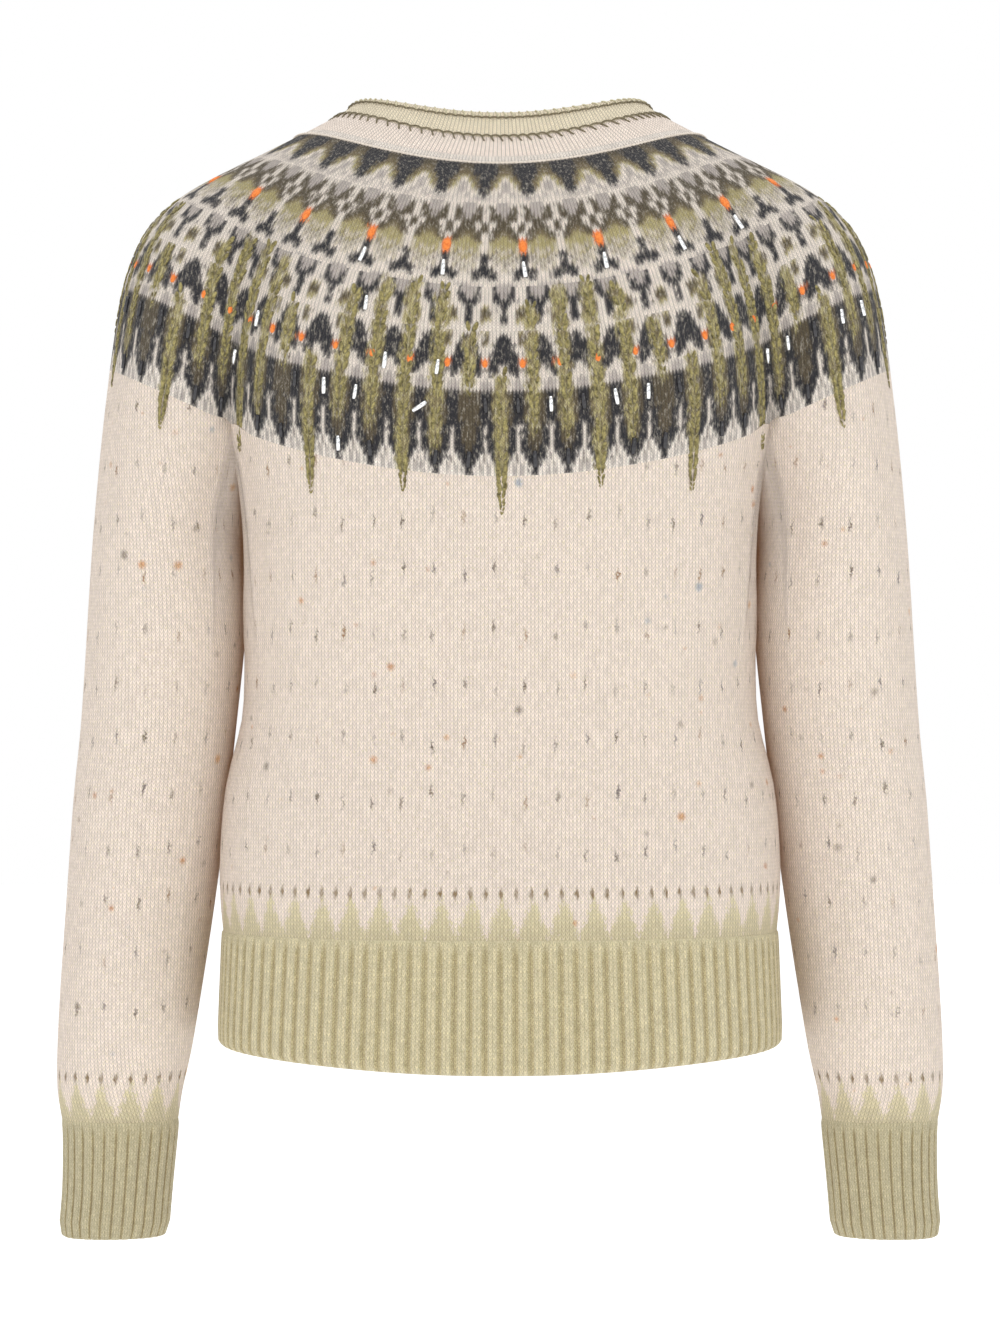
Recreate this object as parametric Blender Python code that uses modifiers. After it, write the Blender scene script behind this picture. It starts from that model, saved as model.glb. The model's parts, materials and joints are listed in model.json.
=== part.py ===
"""A round-yoke knitted cardigan, filled out as if worn, with its front buttoned.

Metres, +Z up. The wearer would face -Y, and +X is the wearer's left. The origin lies between the
shoulders, at the height of the base of the neck.

Every piece of knitting is one wall, lofted through rows of points on the garment's outer face. Level
sections give the body and the sleeves, three rings give the neckband, and curves from the neck seam
down to the body and sleeves give the yoke. The left half is worked out and mirrored.
"""

from collections import namedtuple
from math import asin, atan2, cos, exp, pi, radians, sin

import bmesh
import bpy
from mathutils import Vector

# The knitting
WALL = 0.0024  # thickness of the cloth
SEAM_GAP = 0.0003  # between two pieces at a seam
RIB_RAISE = 0.0011  # how far a rib stands out of its groove
BODY_RIBS_BACK = 52  # ribs across the back of the hem
BODY_RIBS_FRONT = 24  # ribs on each front of the hem
CUFF_RIBS = 22  # ribs round each cuff

# Heights on the body
YOKE_LOW_BACK = -0.205  # the yoke's lower edge at the centre back
YOKE_LOW_FRONT = -0.272  # and at the centre front, below the lower front neck
CORNER_BACK = -0.172  # where body, sleeve and yoke meet, at the back
CORNER_FRONT = -0.176  # and at the front
UNDERARM = -0.228  # the lowest point of the armhole
SETTLED = -0.312  # below this the cloth hangs free of the armhole
HEM_RIB_TOP = -0.4723
HEM = -0.549  # the hem's edge at the centre back and front
HEM_SIDE_LIFT = 0.0085  # how much higher it is at the sides
HEM_CURVE = 2.5  # how closely that rise keeps to the sides
YOKE_CURVE = 2.2  # how closely the yoke's lower edge turns up at the corners
CORNER_TURN = radians(69.2)  # the corners' direction, from the centre back or front
UNDERARM_X = 0.1523

# Heights on the sleeve
SLEEVE_HIGH = -0.137  # the yoke's lower edge on the outside of the sleeve
CUFF_TOP = -0.5879
CUFF_END = -0.6605
CORNER_ROUND = radians(128.1)  # the corners' direction on the sleeve, from its outer side

# The front bands
BAND_HALF = 0.0145  # half the width of a button band
BAND_LAP = 0.0012  # how far the upper band reaches over the right front
BAND_TUCK = 0.0008  # how far its other edge stays back from the left front
BAND_CLEAR = 0.0005  # under the upper band
BUTTONS = 7
BUTTON_RADIUS = 0.0075
BUTTON_THICK = 0.0030
BUTTON_SIDES = 16
BUTTON_INSET = 0.0140  # the first and last button's distance from the ends of the band

# How many stretches of cloth each edge is divided into
BACK_STEPS = 10  # centre back to the corner
ARMHOLE_STEPS = 4  # corner to the underarm
FRONT_STEPS = 10  # front corner to the button band
SLEEVE_STEPS = 16  # from corner to corner over the sleeve
UPPER_ROWS = 5  # rows from the yoke to SETTLED
YOKE_ROWS = 10

# Level sections of the body. squareness is the exponent of a superellipse, 2 for an ellipse.
BodyRow = namedtuple("BodyRow", "z half_width back front squareness")
BODY = [
    BodyRow(-0.172, 0.1680, 0.1200, 0.1270, 2.70),
    BodyRow(-0.210, 0.1585, 0.1195, 0.1290, 2.62),
    BodyRow(-0.250, 0.1517, 0.1165, 0.1280, 2.50),
    BodyRow(-0.312, 0.1522, 0.1080, 0.1180, 2.40),
    BodyRow(-0.346, 0.1560, 0.1045, 0.1120, 2.35),
    BodyRow(-0.369, 0.1590, 0.1035, 0.1090, 2.30),
    BodyRow(-0.400, 0.1628, 0.1040, 0.1080, 2.30),
    BodyRow(-0.438, 0.1662, 0.1085, 0.1110, 2.30),
    BodyRow(-0.456, 0.1676, 0.1110, 0.1130, 2.30),
    BodyRow(-0.4723, 0.1660, 0.1110, 0.1130, 2.30),
    BodyRow(-0.502, 0.1672, 0.1125, 0.1140, 2.30),
    BodyRow(-0.526, 0.1686, 0.1150, 0.1160, 2.30),
    BodyRow(-0.549, 0.1682, 0.1175, 0.1180, 2.30),
]
BODY_LEVELS = (-0.346, -0.385, -0.424, -0.452, HEM_RIB_TOP)
HEM_SHARES = (0.0, 0.12, 1.0)  # the ribbing's rows, from its top to its edge

# Level sections of the sleeve, ellipses whose centres swing a little forward and outward.
SleeveRow = namedtuple("SleeveRow", "z centre half_width half_depth forward")
SLEEVE = [
    SleeveRow(-0.137, 0.1857, 0.0480, 0.0780, 0.000),
    SleeveRow(-0.172, 0.1885, 0.0494, 0.0762, 0.000),
    SleeveRow(-0.228, 0.1985, 0.0449, 0.0625, 0.001),
    SleeveRow(-0.280, 0.2005, 0.0466, 0.0565, 0.002),
    SleeveRow(-0.312, 0.2018, 0.0474, 0.0535, 0.004),
    SleeveRow(-0.347, 0.2051, 0.0467, 0.0510, 0.007),
    SleeveRow(-0.370, 0.2079, 0.0463, 0.0500, 0.009),
    SleeveRow(-0.401, 0.2117, 0.0458, 0.0485, 0.012),
    SleeveRow(-0.439, 0.2151, 0.0454, 0.0470, 0.016),
    SleeveRow(-0.455, 0.2168, 0.0449, 0.0462, 0.017),
    SleeveRow(-0.503, 0.2224, 0.0430, 0.0435, 0.020),
    SleeveRow(-0.546, 0.2274, 0.0406, 0.0400, 0.024),
    SleeveRow(-0.570, 0.2302, 0.0379, 0.0360, 0.026),
    SleeveRow(-0.5879, 0.2304, 0.0352, 0.0315, 0.028),
    SleeveRow(-0.607, 0.2303, 0.0329, 0.0280, 0.029),
    SleeveRow(-0.632, 0.2324, 0.0325, 0.0268, 0.031),
    SleeveRow(-0.6605, 0.2350, 0.0326, 0.0268, 0.034),
]
SLEEVE_LEVELS = (-0.352, -0.392, -0.432, -0.472, -0.512, -0.546, -0.570, CUFF_TOP)
CUFF_LEVELS = (CUFF_TOP, -0.5970, -0.6300, CUFF_END)

# Rings round the neck. back and front are their reach from the middle.
Ring = namedtuple("Ring", "half_width back front z_back z_side z_front")
NECK_SEAM = Ring(0.1194, 0.085, 0.092, -0.0180, -0.0013, -0.083)
NECK_CHANGE = Ring(0.1005, 0.072, 0.084, -0.0052, 0.0093, -0.062)
NECK_RIM = Ring(0.0880, 0.062, 0.078, 0.0103, 0.0169, -0.043)
CREASE_REACH = 3.0  # columns either side of a corner over which the armhole crease fades upwards
CREASE_ROUNDS = 8  # of smoothing there

# How firmly the yoke keeps to its direction at either end, at the centre and at the shoulder
Handle = namedtuple("Handle", "centre shoulder")
HANDLE_TOP = Handle(0.062, 0.0906)
HANDLE_LOW = Handle(0.066, 0.1105)

# The trim's rows from its rim down: where it rolls, it stands out and is thicker.
TrimRow = namedtuple("TrimRow", "share raised thickness")
TRIM = [
    TrimRow(0.00, 0.0004, 0.0032),
    TrimRow(0.14, 0.0014, 0.0038),
    TrimRow(0.36, 0.0002, WALL),
    TrimRow(1.00, 0.0000, WALL),
]
RIB_FADE = (0.25, 1.0, 1.0, 1.0)  # how much of the ribs' height each row of ribbing has

CREAM = "#e3d6c7"
PALE_GREEN = "#cfc6ac"
RIB_GREEN = "#c4bc9a"
YOKE_OLIVE = "#8d8760"
BUTTON_HORN = "#8a7a5c"
WOOL_ROUGHNESS = 0.95
HORN_ROUGHNESS = 0.35
SHARP = radians(50)  # edges that bend more than this stay crisp


# Curves and tables


def along(rows, column, z):
    """The named column of a table at height z, on a smooth curve through its rows."""
    heights = [row.z for row in rows]
    values = [getattr(row, column) for row in rows]
    last = len(rows) - 1
    at = min(max(sum(z < height for height in heights) - 1, 0), last - 1)

    def slope(i):
        low, high = max(i - 1, 0), min(i + 1, last)
        return (values[high] - values[low]) / (heights[high] - heights[low])

    span = heights[at + 1] - heights[at]
    t = (z - heights[at]) / span
    rise = (1 + 2 * t) * (1 - t) ** 2 * values[at] + t * t * (3 - 2 * t) * values[at + 1]
    return rise + span * (t * (1 - t) ** 2 * slope(at) - t * t * (1 - t) * slope(at + 1))


def ease(t):
    """0 to 1 with a level start and end."""
    t = min(max(t, 0.0), 1.0)
    return t * t * (3 - 2 * t)


def shares_of(points):
    """How far along the line each of its points lies, from 0 to 1."""
    lengths = [0.0]
    for a, b in zip(points, points[1:]):
        lengths.append(lengths[-1] + (b - a).length)
    return [length / lengths[-1] for length in lengths]


def spaced(curve, start, end, shares, samples=240):
    """Points of curve(angle) at these shares of its length from start to end."""
    angles = [start + (end - start) * i / samples for i in range(samples + 1)]
    reached = shares_of([curve(angle) for angle in angles])
    found = []
    at = 0
    for share in shares:
        while at < samples - 1 and reached[at + 1] < share:
            at += 1
        t = (share - reached[at]) / (reached[at + 1] - reached[at])
        found.append(curve(angles[at] + (angles[at + 1] - angles[at]) * t))
    return found


def even(steps):
    return [i / steps for i in range(steps + 1)]


def bezier(p0, p1, p2, p3, t):
    s = 1 - t
    return p0 * s**3 + p1 * (3 * s * s * t) + p2 * (3 * s * t * t) + p3 * t**3


# Outer faces


def body_at(turn, z):
    """The body's outer face in the direction turn, measured from the centre back towards +X."""
    n = along(BODY, "squareness", z)
    half = along(BODY, "half_width", z)
    depth = along(BODY, "back" if cos(turn) > 0 else "front", z)
    reach = (abs(sin(turn) / half) ** n + abs(cos(turn) / depth) ** n) ** (-1 / n)
    return Vector((reach * sin(turn), reach * cos(turn), z))


def front_at(x, z):
    """The body's outer face at the front, straight ahead of x."""
    n = along(BODY, "squareness", z)
    depth = along(BODY, "front", z) * (1 - abs(x / along(BODY, "half_width", z)) ** n) ** (1 / n)
    return Vector((x, -depth, z))


def hem_height(x, share):
    """The height of the hem's ribbing at x, share running from its top to its edge."""
    side = (abs(x) / along(BODY, "half_width", HEM)) ** HEM_CURVE
    return HEM_RIB_TOP + (HEM + HEM_SIDE_LIFT * side - HEM_RIB_TOP) * share


def turn_to_band(z):
    edge = front_at(BAND_HALF, z)
    return atan2(edge.x, edge.y)


def sleeve_at(angle, z):
    """The left sleeve's outer face. angle is 0 on the outer side and a quarter turn at the back."""
    x = along(SLEEVE, "centre", z) + along(SLEEVE, "half_width", z) * cos(angle)
    y = along(SLEEVE, "half_depth", z) * sin(angle) - along(SLEEVE, "forward", z)
    return Vector((x, y, z))


def ring_at(ring, turn):
    middle = (ring.z_back + ring.z_front) / 2
    flat = (middle + ring.z_side) / 2
    z = flat + (ring.z_back - ring.z_front) / 2 * cos(turn) + (middle - flat) * cos(2 * turn)
    reach = ring.back if cos(turn) > 0 else ring.front
    return Vector((ring.half_width * sin(turn), reach * cos(turn), z))


def ring_in_front(ring, x):
    return ring_at(ring, pi - asin(x / ring.half_width))


def armhole_at(angle):
    """The armhole's edge: 0 at the back corner, a quarter turn under the arm, a half in front."""
    back = cos(angle) > 0
    z = CORNER_BACK if back else CORNER_FRONT
    corner = body_at(CORNER_TURN if back else pi - CORNER_TURN, z)
    down = sin(angle)
    x = corner.x + (UNDERARM_X - corner.x) * down
    return Vector((x, corner.y * abs(cos(angle)), z + (UNDERARM - z) * down))


def yoke_low(share, z_centre, z_corner):
    """The height of the yoke's lower edge on the body, share running from centre to corner."""
    return z_centre + (z_corner - z_centre) * share**YOKE_CURVE


def yoke_controls(seam, change, low, lower):
    """The control points of the yoke's curve from the neck seam down to a point of its lower edge.

    change is the point of the neckband above the seam, and lower the next point of the cloth below.
    """
    shoulder = (seam.x / NECK_SEAM.half_width) ** 2
    leave = (seam - change).normalized()
    arrive = (lower - low).normalized()
    top = HANDLE_TOP.centre + (HANDLE_TOP.shoulder - HANDLE_TOP.centre) * shoulder
    end = HANDLE_LOW.centre + (HANDLE_LOW.shoulder - HANDLE_LOW.centre) * shoulder
    return [seam, seam + leave * top, low - arrive * end, low]


def fade_creases(controls, corners):
    """Evens out the lower handles near the corners, so that the armhole creases fade upwards."""
    handles = [points[2] for points in controls]
    smooth = handles
    for _ in range(CREASE_ROUNDS):
        before = [Vector((-smooth[1].x, smooth[1].y, smooth[1].z))] + smooth[:-1]
        after = smooth[1:] + smooth[-1:]
        smooth = [(a + b * 2 + c) / 4 for a, b, c in zip(before, smooth, after)]
    for i, points in enumerate(controls[:-1]):
        nearness = sum(exp(-(((i - corner) / CREASE_REACH) ** 2)) for corner in corners)
        points[2] = handles[i].lerp(smooth[i], min(nearness, 1.0))


def yoke_column(controls):
    return [bezier(*controls, t) for t in even(YOKE_ROWS)]


# Panels


class Panel:
    """Rows of points on a piece's outer face, top row first, and the way out at each."""

    def __init__(self, face, out=None, around=False):
        self.face = face
        self.around = around
        self.out = out or self.ways_out()

    def ways_out(self):
        rows, columns = len(self.face), len(self.face[0])
        out = []
        for r in range(rows):
            above, below = self.face[max(r - 1, 0)], self.face[min(r + 1, rows - 1)]
            row = self.face[r]
            ways = []
            for c in range(columns):
                before, after = c - 1, c + 1
                if self.around:
                    after %= columns
                else:
                    before, after = max(before, 0), min(after, columns - 1)
                way = (row[after] - row[before]).cross(below[c] - above[c])
                if abs(row[c].x) < 1e-9:
                    way.x = 0  # on the centre line the cloth faces straight back or front
                ways.append(way.normalized())
            out.append(ways)
        return out

    def level(self, r):
        """Lets the cloth face level along a row, where ribbing meets it edge to edge."""
        self.out[r] = [Vector((way.x, way.y, 0)).normalized() for way in self.out[r]]

    def mirrored(self):
        def turned(grid):
            return [[Vector((-v.x, v.y, v.z)) for v in reversed(row)] for row in grid]

        return Panel(turned(self.face), turned(self.out), self.around)

    def whole(self):
        """The half from the centre back, joined to its mirror image."""
        other = self.mirrored()
        face = [a[:-1] + b for a, b in zip(other.face, self.face)]
        out = [a[:-1] + b for a, b in zip(other.out, self.out)]
        return Panel(face, out)

    def columns(self, first, last):
        face = [row[first : last + 1] for row in self.face]
        return Panel(face, [row[first : last + 1] for row in self.out])

    def drawn_in(self, top=True, bottom=True, sides=True):
        """The panel with its sewn edges drawn in by half a seam's gap."""
        face = [list(row) for row in self.face]

        def drawn(edge, inner):
            return edge + (inner - edge).normalized() * (SEAM_GAP / 2)

        if top:
            face[0] = [drawn(a, b) for a, b in zip(face[0], face[1])]
        if bottom:
            face[-1] = [drawn(a, b) for a, b in zip(face[-1], face[-2])]
        if sides and not self.around:
            for row in face:
                row[0], row[-1] = drawn(row[0], row[1]), drawn(row[-1], row[-2])
        return Panel(face, self.out, self.around)


def match(above, above_from, below, below_from, count):
    """Gives two panels one way out along the seam where above's last row meets below's first."""
    for i in range(count):
        upper, lower = above.out[-1], below.out[0]
        mean = (upper[above_from + i] + lower[below_from + i]).normalized()
        upper[above_from + i] = lower[below_from + i] = mean


def body_panel():
    """The left half of the body, from the centre back round to the button band."""
    columns = []  # each is its top point, its turn at a height, and its top height
    for share in even(BACK_STEPS):
        turn = CORNER_TURN * share
        z = yoke_low(share, YOKE_LOW_BACK, CORNER_BACK)
        columns.append((body_at(turn, z), lambda z, turn=turn: turn))
    for i in range(1, 2 * ARMHOLE_STEPS):
        angle = pi * i / (2 * ARMHOLE_STEPS)
        turn = pi / 2 - (pi / 2 - CORNER_TURN) * cos(angle)
        columns.append((armhole_at(angle), lambda z, turn=turn: turn))
    for share in even(FRONT_STEPS):
        z = yoke_low(1 - share, YOKE_LOW_FRONT, CORNER_FRONT)

        def turn_at(z, share=share):
            return (pi - CORNER_TURN) * (1 - share) + turn_to_band(z) * share

        columns.append((body_at(turn_at(z), z), turn_at))
    return Panel(hung(columns, body_at, BODY_LEVELS))


def hung(columns, surface, levels):
    """Rows of cloth that start on each column's own top point and hang onto the surface."""
    face = []
    steps = [i / UPPER_ROWS for i in range(UPPER_ROWS + 1)]
    for step in steps:
        row = []
        for top, turn_at in columns:
            z = top.z + (SETTLED - top.z) * step
            pull = top - surface(turn_at(top.z), top.z)
            row.append(surface(turn_at(z), z) + pull * (1 - ease(step)))
        face.append(row)
    for z in levels:
        face.append([surface(turn_at(z), z) for _, turn_at in columns])
    return face


def sleeve_panel():
    """The left sleeve, from the underarm round by the back, the outer side and the front."""
    columns = []
    for i in range(ARMHOLE_STEPS + 1):
        angle = pi / 2 - pi / 2 * i / ARMHOLE_STEPS
        columns.append((armhole_at(angle), pi - (pi - CORNER_ROUND) * cos(angle)))
    corner_back, corner_front = armhole_at(0), armhole_at(pi)
    for i in range(1, SLEEVE_STEPS):
        share = i / SLEEVE_STEPS
        angle = CORNER_ROUND * (1 - 2 * share)
        corner = corner_back if share < 0.5 else corner_front
        rise = (1 - cos(angle)) / (1 - cos(CORNER_ROUND))
        z = SLEEVE_HIGH + (corner.z - SLEEVE_HIGH) * rise
        at_corner = sleeve_at(CORNER_ROUND if share < 0.5 else -CORNER_ROUND, corner.z)
        pull = (corner - at_corner) * ease(abs(2 * share - 1))
        columns.append((sleeve_at(angle, z) + pull, angle))
    for i in range(ARMHOLE_STEPS):
        angle = pi - pi / 2 * i / ARMHOLE_STEPS
        columns.append((armhole_at(angle), -pi - (pi - CORNER_ROUND) * cos(angle)))
    columns = [(top, lambda z, angle=angle: angle) for top, angle in columns]
    return Panel(hung(columns, sleeve_at, SLEEVE_LEVELS), around=True)


def ring_points(ring, shares):
    end = pi - asin(BAND_HALF / ring.half_width)
    return spaced(lambda turn: ring_at(ring, turn), 0, end, shares)


def between(high, low, shares):
    """Rows at these shares of the way from one row down to another."""
    return [[a.lerp(b, share) for a, b in zip(high, low)] for share in shares]


def neck_and_yoke(body, sleeve):
    """The left halves of the trim, the neckband and the yoke."""
    back, front = BACK_STEPS + 1, BACK_STEPS + 2 * ARMHOLE_STEPS + 1
    over = slice(ARMHOLE_STEPS + 1, ARMHOLE_STEPS + SLEEVE_STEPS)

    def edge(r):
        return body.face[r][:back] + sleeve.face[r][over] + body.face[r][front - 1 :]

    low, lower = edge(0), edge(1)
    for corner, on_sleeve in (
        (BACK_STEPS, ARMHOLE_STEPS),
        (BACK_STEPS + SLEEVE_STEPS, ARMHOLE_STEPS + SLEEVE_STEPS),
    ):
        lower[corner] = (lower[corner] + sleeve.face[1][on_sleeve]) / 2
    shares = shares_of(low)
    rim, change, seam = (ring_points(ring, shares) for ring in (NECK_RIM, NECK_CHANGE, NECK_SEAM))
    controls = [yoke_controls(*points) for points in zip(seam, change, low, lower)]
    fade_creases(controls, (BACK_STEPS, BACK_STEPS + SLEEVE_STEPS))
    yoke = Panel([list(row) for row in zip(*map(yoke_column, controls))])
    trim = Panel(between(rim, change, [row.share for row in TRIM]))
    neck = Panel(between(change, seam, even(1)))
    match(trim, 0, neck, 0, len(shares))
    match(neck, 0, yoke, 0, len(shares))
    match(yoke, 0, body, 0, back)
    match(yoke, BACK_STEPS, sleeve, ARMHOLE_STEPS, SLEEVE_STEPS + 1)
    match(yoke, BACK_STEPS + SLEEVE_STEPS, body, front - 1, FRONT_STEPS + 1)
    return trim, neck, yoke


def hem_panel():
    """The left half of the hem's ribbing, with a column for each rib and each groove."""
    rows = []
    for share in HEM_SHARES:

        def curve(turn, share=share):
            return body_at(turn, hem_height(along(BODY, "half_width", HEM) * sin(turn), share))

        back = spaced(curve, 0, pi / 2, even(BODY_RIBS_BACK))
        band = turn_to_band(hem_height(BAND_HALF, share))
        front = spaced(curve, pi / 2, band, even(2 * BODY_RIBS_FRONT))
        rows.append(back + front[1:])
    panel = Panel(rows)
    panel.level(0)
    return panel


def cuff_panel():
    rows = []
    for z in CUFF_LEVELS:
        ring = spaced(lambda angle: sleeve_at(angle, z), pi, -pi, even(2 * CUFF_RIBS))
        rows.append(ring[:-1])
    panel = Panel(rows, around=True)
    panel.level(0)
    return panel


def front_strip(xs):
    """The front from the rim down to the hem, straight down at each x."""
    columns = []
    for x in xs:
        rim, change, seam = (ring_in_front(r, x) for r in (NECK_RIM, NECK_CHANGE, NECK_SEAM))
        below = YOKE_LOW_FRONT + (SETTLED - YOKE_LOW_FRONT) / UPPER_ROWS
        low, lower = front_at(x, YOKE_LOW_FRONT), front_at(x, below)
        column = [rim.lerp(change, row.share) for row in TRIM]
        column += yoke_column(yoke_controls(seam, change, low, lower))
        for step in even(UPPER_ROWS)[1:]:
            column.append(front_at(x, YOKE_LOW_FRONT + (SETTLED - YOKE_LOW_FRONT) * step))
        column += [front_at(x, z) for z in BODY_LEVELS]
        column += [front_at(x, hem_height(x, share)) for share in HEM_SHARES[1:]]
        columns.append(column)
    return Panel([list(row) for row in zip(*columns)])


# Objects


def linear(channel):
    return channel / 12.92 if channel <= 0.04045 else ((channel + 0.055) / 1.055) ** 2.4


def material(name, colour, roughness):
    channels = [linear(int(colour[i : i + 2], 16) / 255) for i in (1, 3, 5)]
    made = bpy.data.materials.new(name)
    made.use_nodes = True
    shader = made.node_tree.nodes["Principled BSDF"]
    shader.inputs["Base Color"].default_value = (*channels, 1)
    shader.inputs["Roughness"].default_value = roughness
    shader.inputs["Metallic"].default_value = 0.0
    return made


def place(name, mesh, holder, finish):
    """Puts a mesh in the cardigan's collection, held by the shoulders."""
    piece = bpy.data.objects.new(name, mesh)
    bpy.data.collections["cardigan"].objects.link(piece)
    piece.parent = holder
    if not mesh.materials:
        mesh.materials.append(finish)
    return piece


def wall_mesh(name, panel, raised, thickness):
    """A closed wall, its outer points moved out by raised(row, column) over a plain inside."""
    rows, columns = len(panel.face), len(panel.face[0])
    shape = bmesh.new()
    skins = []
    for reach in (raised, lambda r, c: -thickness(r)):
        skins.append(
            [
                [shape.verts.new(panel.face[r][c] + panel.out[r][c] * reach(r, c)) for c in range(columns)]
                for r in range(rows)
            ]
        )
    outer, inner = skins

    def facets(a, b, c, d):
        """A twisted four-sided face, split from a to c, so that both rims of a seam split alike."""
        shape.faces.new((a, b, c))
        shape.faces.new((a, c, d))

    pairs = [(c, c + 1) for c in range(columns - 1)]
    if panel.around:
        pairs.append((columns - 1, 0))
    for c, d in pairs:
        for r in range(rows - 1):
            shape.faces.new((outer[r][c], outer[r + 1][c], outer[r + 1][d], outer[r][d]))
            shape.faces.new((inner[r][d], inner[r + 1][d], inner[r + 1][c], inner[r][c]))
        facets(outer[0][c], outer[0][d], inner[0][d], inner[0][c])
        facets(inner[-1][d], outer[-1][d], outer[-1][c], inner[-1][c])
    if not panel.around:
        for r in range(rows - 1):
            facets(outer[r][0], inner[r][0], inner[r + 1][0], outer[r + 1][0])
            facets(outer[r][-1], outer[r + 1][-1], inner[r + 1][-1], inner[r][-1])
    bmesh.ops.recalc_face_normals(shape, faces=shape.faces)
    mesh = bpy.data.meshes.new(name)
    shape.to_mesh(mesh)
    shape.free()
    mesh.shade_smooth()
    mesh.set_sharp_from_angle(angle=SHARP)
    return mesh


def knit(name, panel, holder, colour, raised=lambda r, c: 0.0, thickness=lambda r: WALL):
    mesh = wall_mesh(name, panel, raised, thickness)
    return place(name, mesh, holder, material(name + "_wool", colour, WOOL_ROUGHNESS))


def rib(r, c):
    """The grooves are the even columns, so that both ends of a rib piece are grooves."""
    return RIB_RAISE * RIB_FADE[r] * (c % 2)


def button_mesh():
    """A turned disc with a raised rim and a shallow dish, its back at z = 0."""
    profile = (
        (0.0, BUTTON_THICK * 0.62),
        (BUTTON_RADIUS * 0.62, BUTTON_THICK * 0.68),
        (BUTTON_RADIUS * 0.80, BUTTON_THICK),
        (BUTTON_RADIUS * 0.94, BUTTON_THICK * 0.90),
        (BUTTON_RADIUS, BUTTON_THICK * 0.55),
        (BUTTON_RADIUS * 0.86, 0.0),
        (0.0, 0.0),
    )
    mesh = bpy.data.meshes.new("button")
    edges = [(i, i + 1) for i in range(len(profile) - 1)]
    mesh.from_pydata([(x, 0, z) for x, z in profile], edges, [])
    return mesh


def add_buttons(band, lift, holder):
    """Buttons evenly spaced down the middle of the upper band, each flat on it."""
    middle = len(band.face[0]) // 2
    line = [row[middle] + out[middle] * lift for row, out in zip(band.face, band.out)]
    shares = shares_of(line)
    length = sum((b - a).length for a, b in zip(line, line[1:]))
    inset = BUTTON_INSET / length
    mesh = button_mesh()
    finish = material("button_horn", BUTTON_HORN, HORN_ROUGHNESS)
    for i in range(BUTTONS):
        share = inset + (1 - 2 * inset) * i / (BUTTONS - 1)
        at = max(k for k in range(len(shares) - 1) if shares[k] <= share)
        t = (share - shares[at]) / (shares[at + 1] - shares[at])
        down = (line[at + 1] - line[at]).normalized()
        facing = Vector((-1, 0, 0)).cross(down)
        button = place(f"button_{i + 1}", mesh, holder, finish)
        button.location = line[at].lerp(line[at + 1], t) + facing * SEAM_GAP
        button.rotation_euler = facing.to_track_quat("Z", "Y").to_euler()
        turned = button.modifiers.new("turned", "SCREW")
        turned.steps = turned.render_steps = BUTTON_SIDES
        turned.use_merge_vertices = True
        turned.merge_threshold = 0.00001


def add_bands(holder):
    """The lower band level with the fronts, and the upper one and its buttons over it."""
    inner = BAND_HALF - SEAM_GAP / 2
    lower = front_strip([inner, inner / 3, -inner / 3, -inner])
    upper = front_strip([inner - BAND_TUCK, inner / 2, 0.0, -inner / 2, -BAND_HALF - BAND_LAP])
    outside = BAND_CLEAR + WALL
    knit("button_band_left", lower, holder, PALE_GREEN)
    knit(
        "button_band_right",
        upper,
        holder,
        PALE_GREEN,
        raised=lambda r, c: outside,
        thickness=lambda r: -BAND_CLEAR,
    )
    add_buttons(upper, outside, holder)


def main():
    for old in list(bpy.data.objects):
        bpy.data.objects.remove(old)
    collection = bpy.data.collections.new("cardigan")
    bpy.context.scene.collection.children.link(collection)
    holder = bpy.data.objects.new("shoulders", None)
    collection.objects.link(holder)

    body, sleeve = body_panel(), sleeve_panel()
    trim, neck, yoke = neck_and_yoke(body, sleeve)
    hem, cuff = hem_panel(), cuff_panel()
    body.level(-1)
    sleeve.level(-1)

    body, hem = body.whole(), hem.whole()
    body_half, hem_half = len(body.face[0]) // 2, len(hem.face[0]) // 2
    side = BACK_STEPS + ARMHOLE_STEPS  # the side seam's column, from the centre back
    panels = (
        ("back", body.columns(body_half - side, body_half + side)),
        ("front_right", body.columns(0, body_half - side)),
        ("front_left", body.columns(body_half + side, 2 * body_half)),
    )
    for name, panel in panels:
        knit(name, panel.drawn_in(), holder, CREAM)
    ribs = (
        ("rib_back", hem.columns(hem_half - BODY_RIBS_BACK, hem_half + BODY_RIBS_BACK)),
        ("rib_front_right", hem.columns(0, hem_half - BODY_RIBS_BACK)),
        ("rib_front_left", hem.columns(hem_half + BODY_RIBS_BACK, 2 * hem_half)),
    )
    for name, panel in ribs:
        knit(name, panel.drawn_in(bottom=False), holder, RIB_GREEN, raised=rib)
    for side_name, turned in (("left", False), ("right", True)):
        for name, panel, colour, raised in (
            ("sleeve", sleeve.drawn_in(), CREAM, lambda r, c: 0.0),
            ("cuff", cuff.drawn_in(bottom=False), RIB_GREEN, rib),
        ):
            piece = panel.mirrored() if turned else panel
            knit(f"{name}_{side_name}", piece, holder, colour, raised=raised)
    knit("yoke", yoke.whole().drawn_in(), holder, YOKE_OLIVE)
    knit("neck_rib", neck.whole().drawn_in(), holder, CREAM)
    trim = trim.whole().drawn_in(top=False)
    last = len(trim.face[0]) - 1
    knit(
        "neck_trim",
        trim,
        holder,
        PALE_GREEN,
        raised=lambda r, c: TRIM[r].raised * (0 < c < last),  # flat where the bands cross it
        thickness=lambda r: TRIM[r].thickness,
    )
    add_bands(holder)


main()
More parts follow.
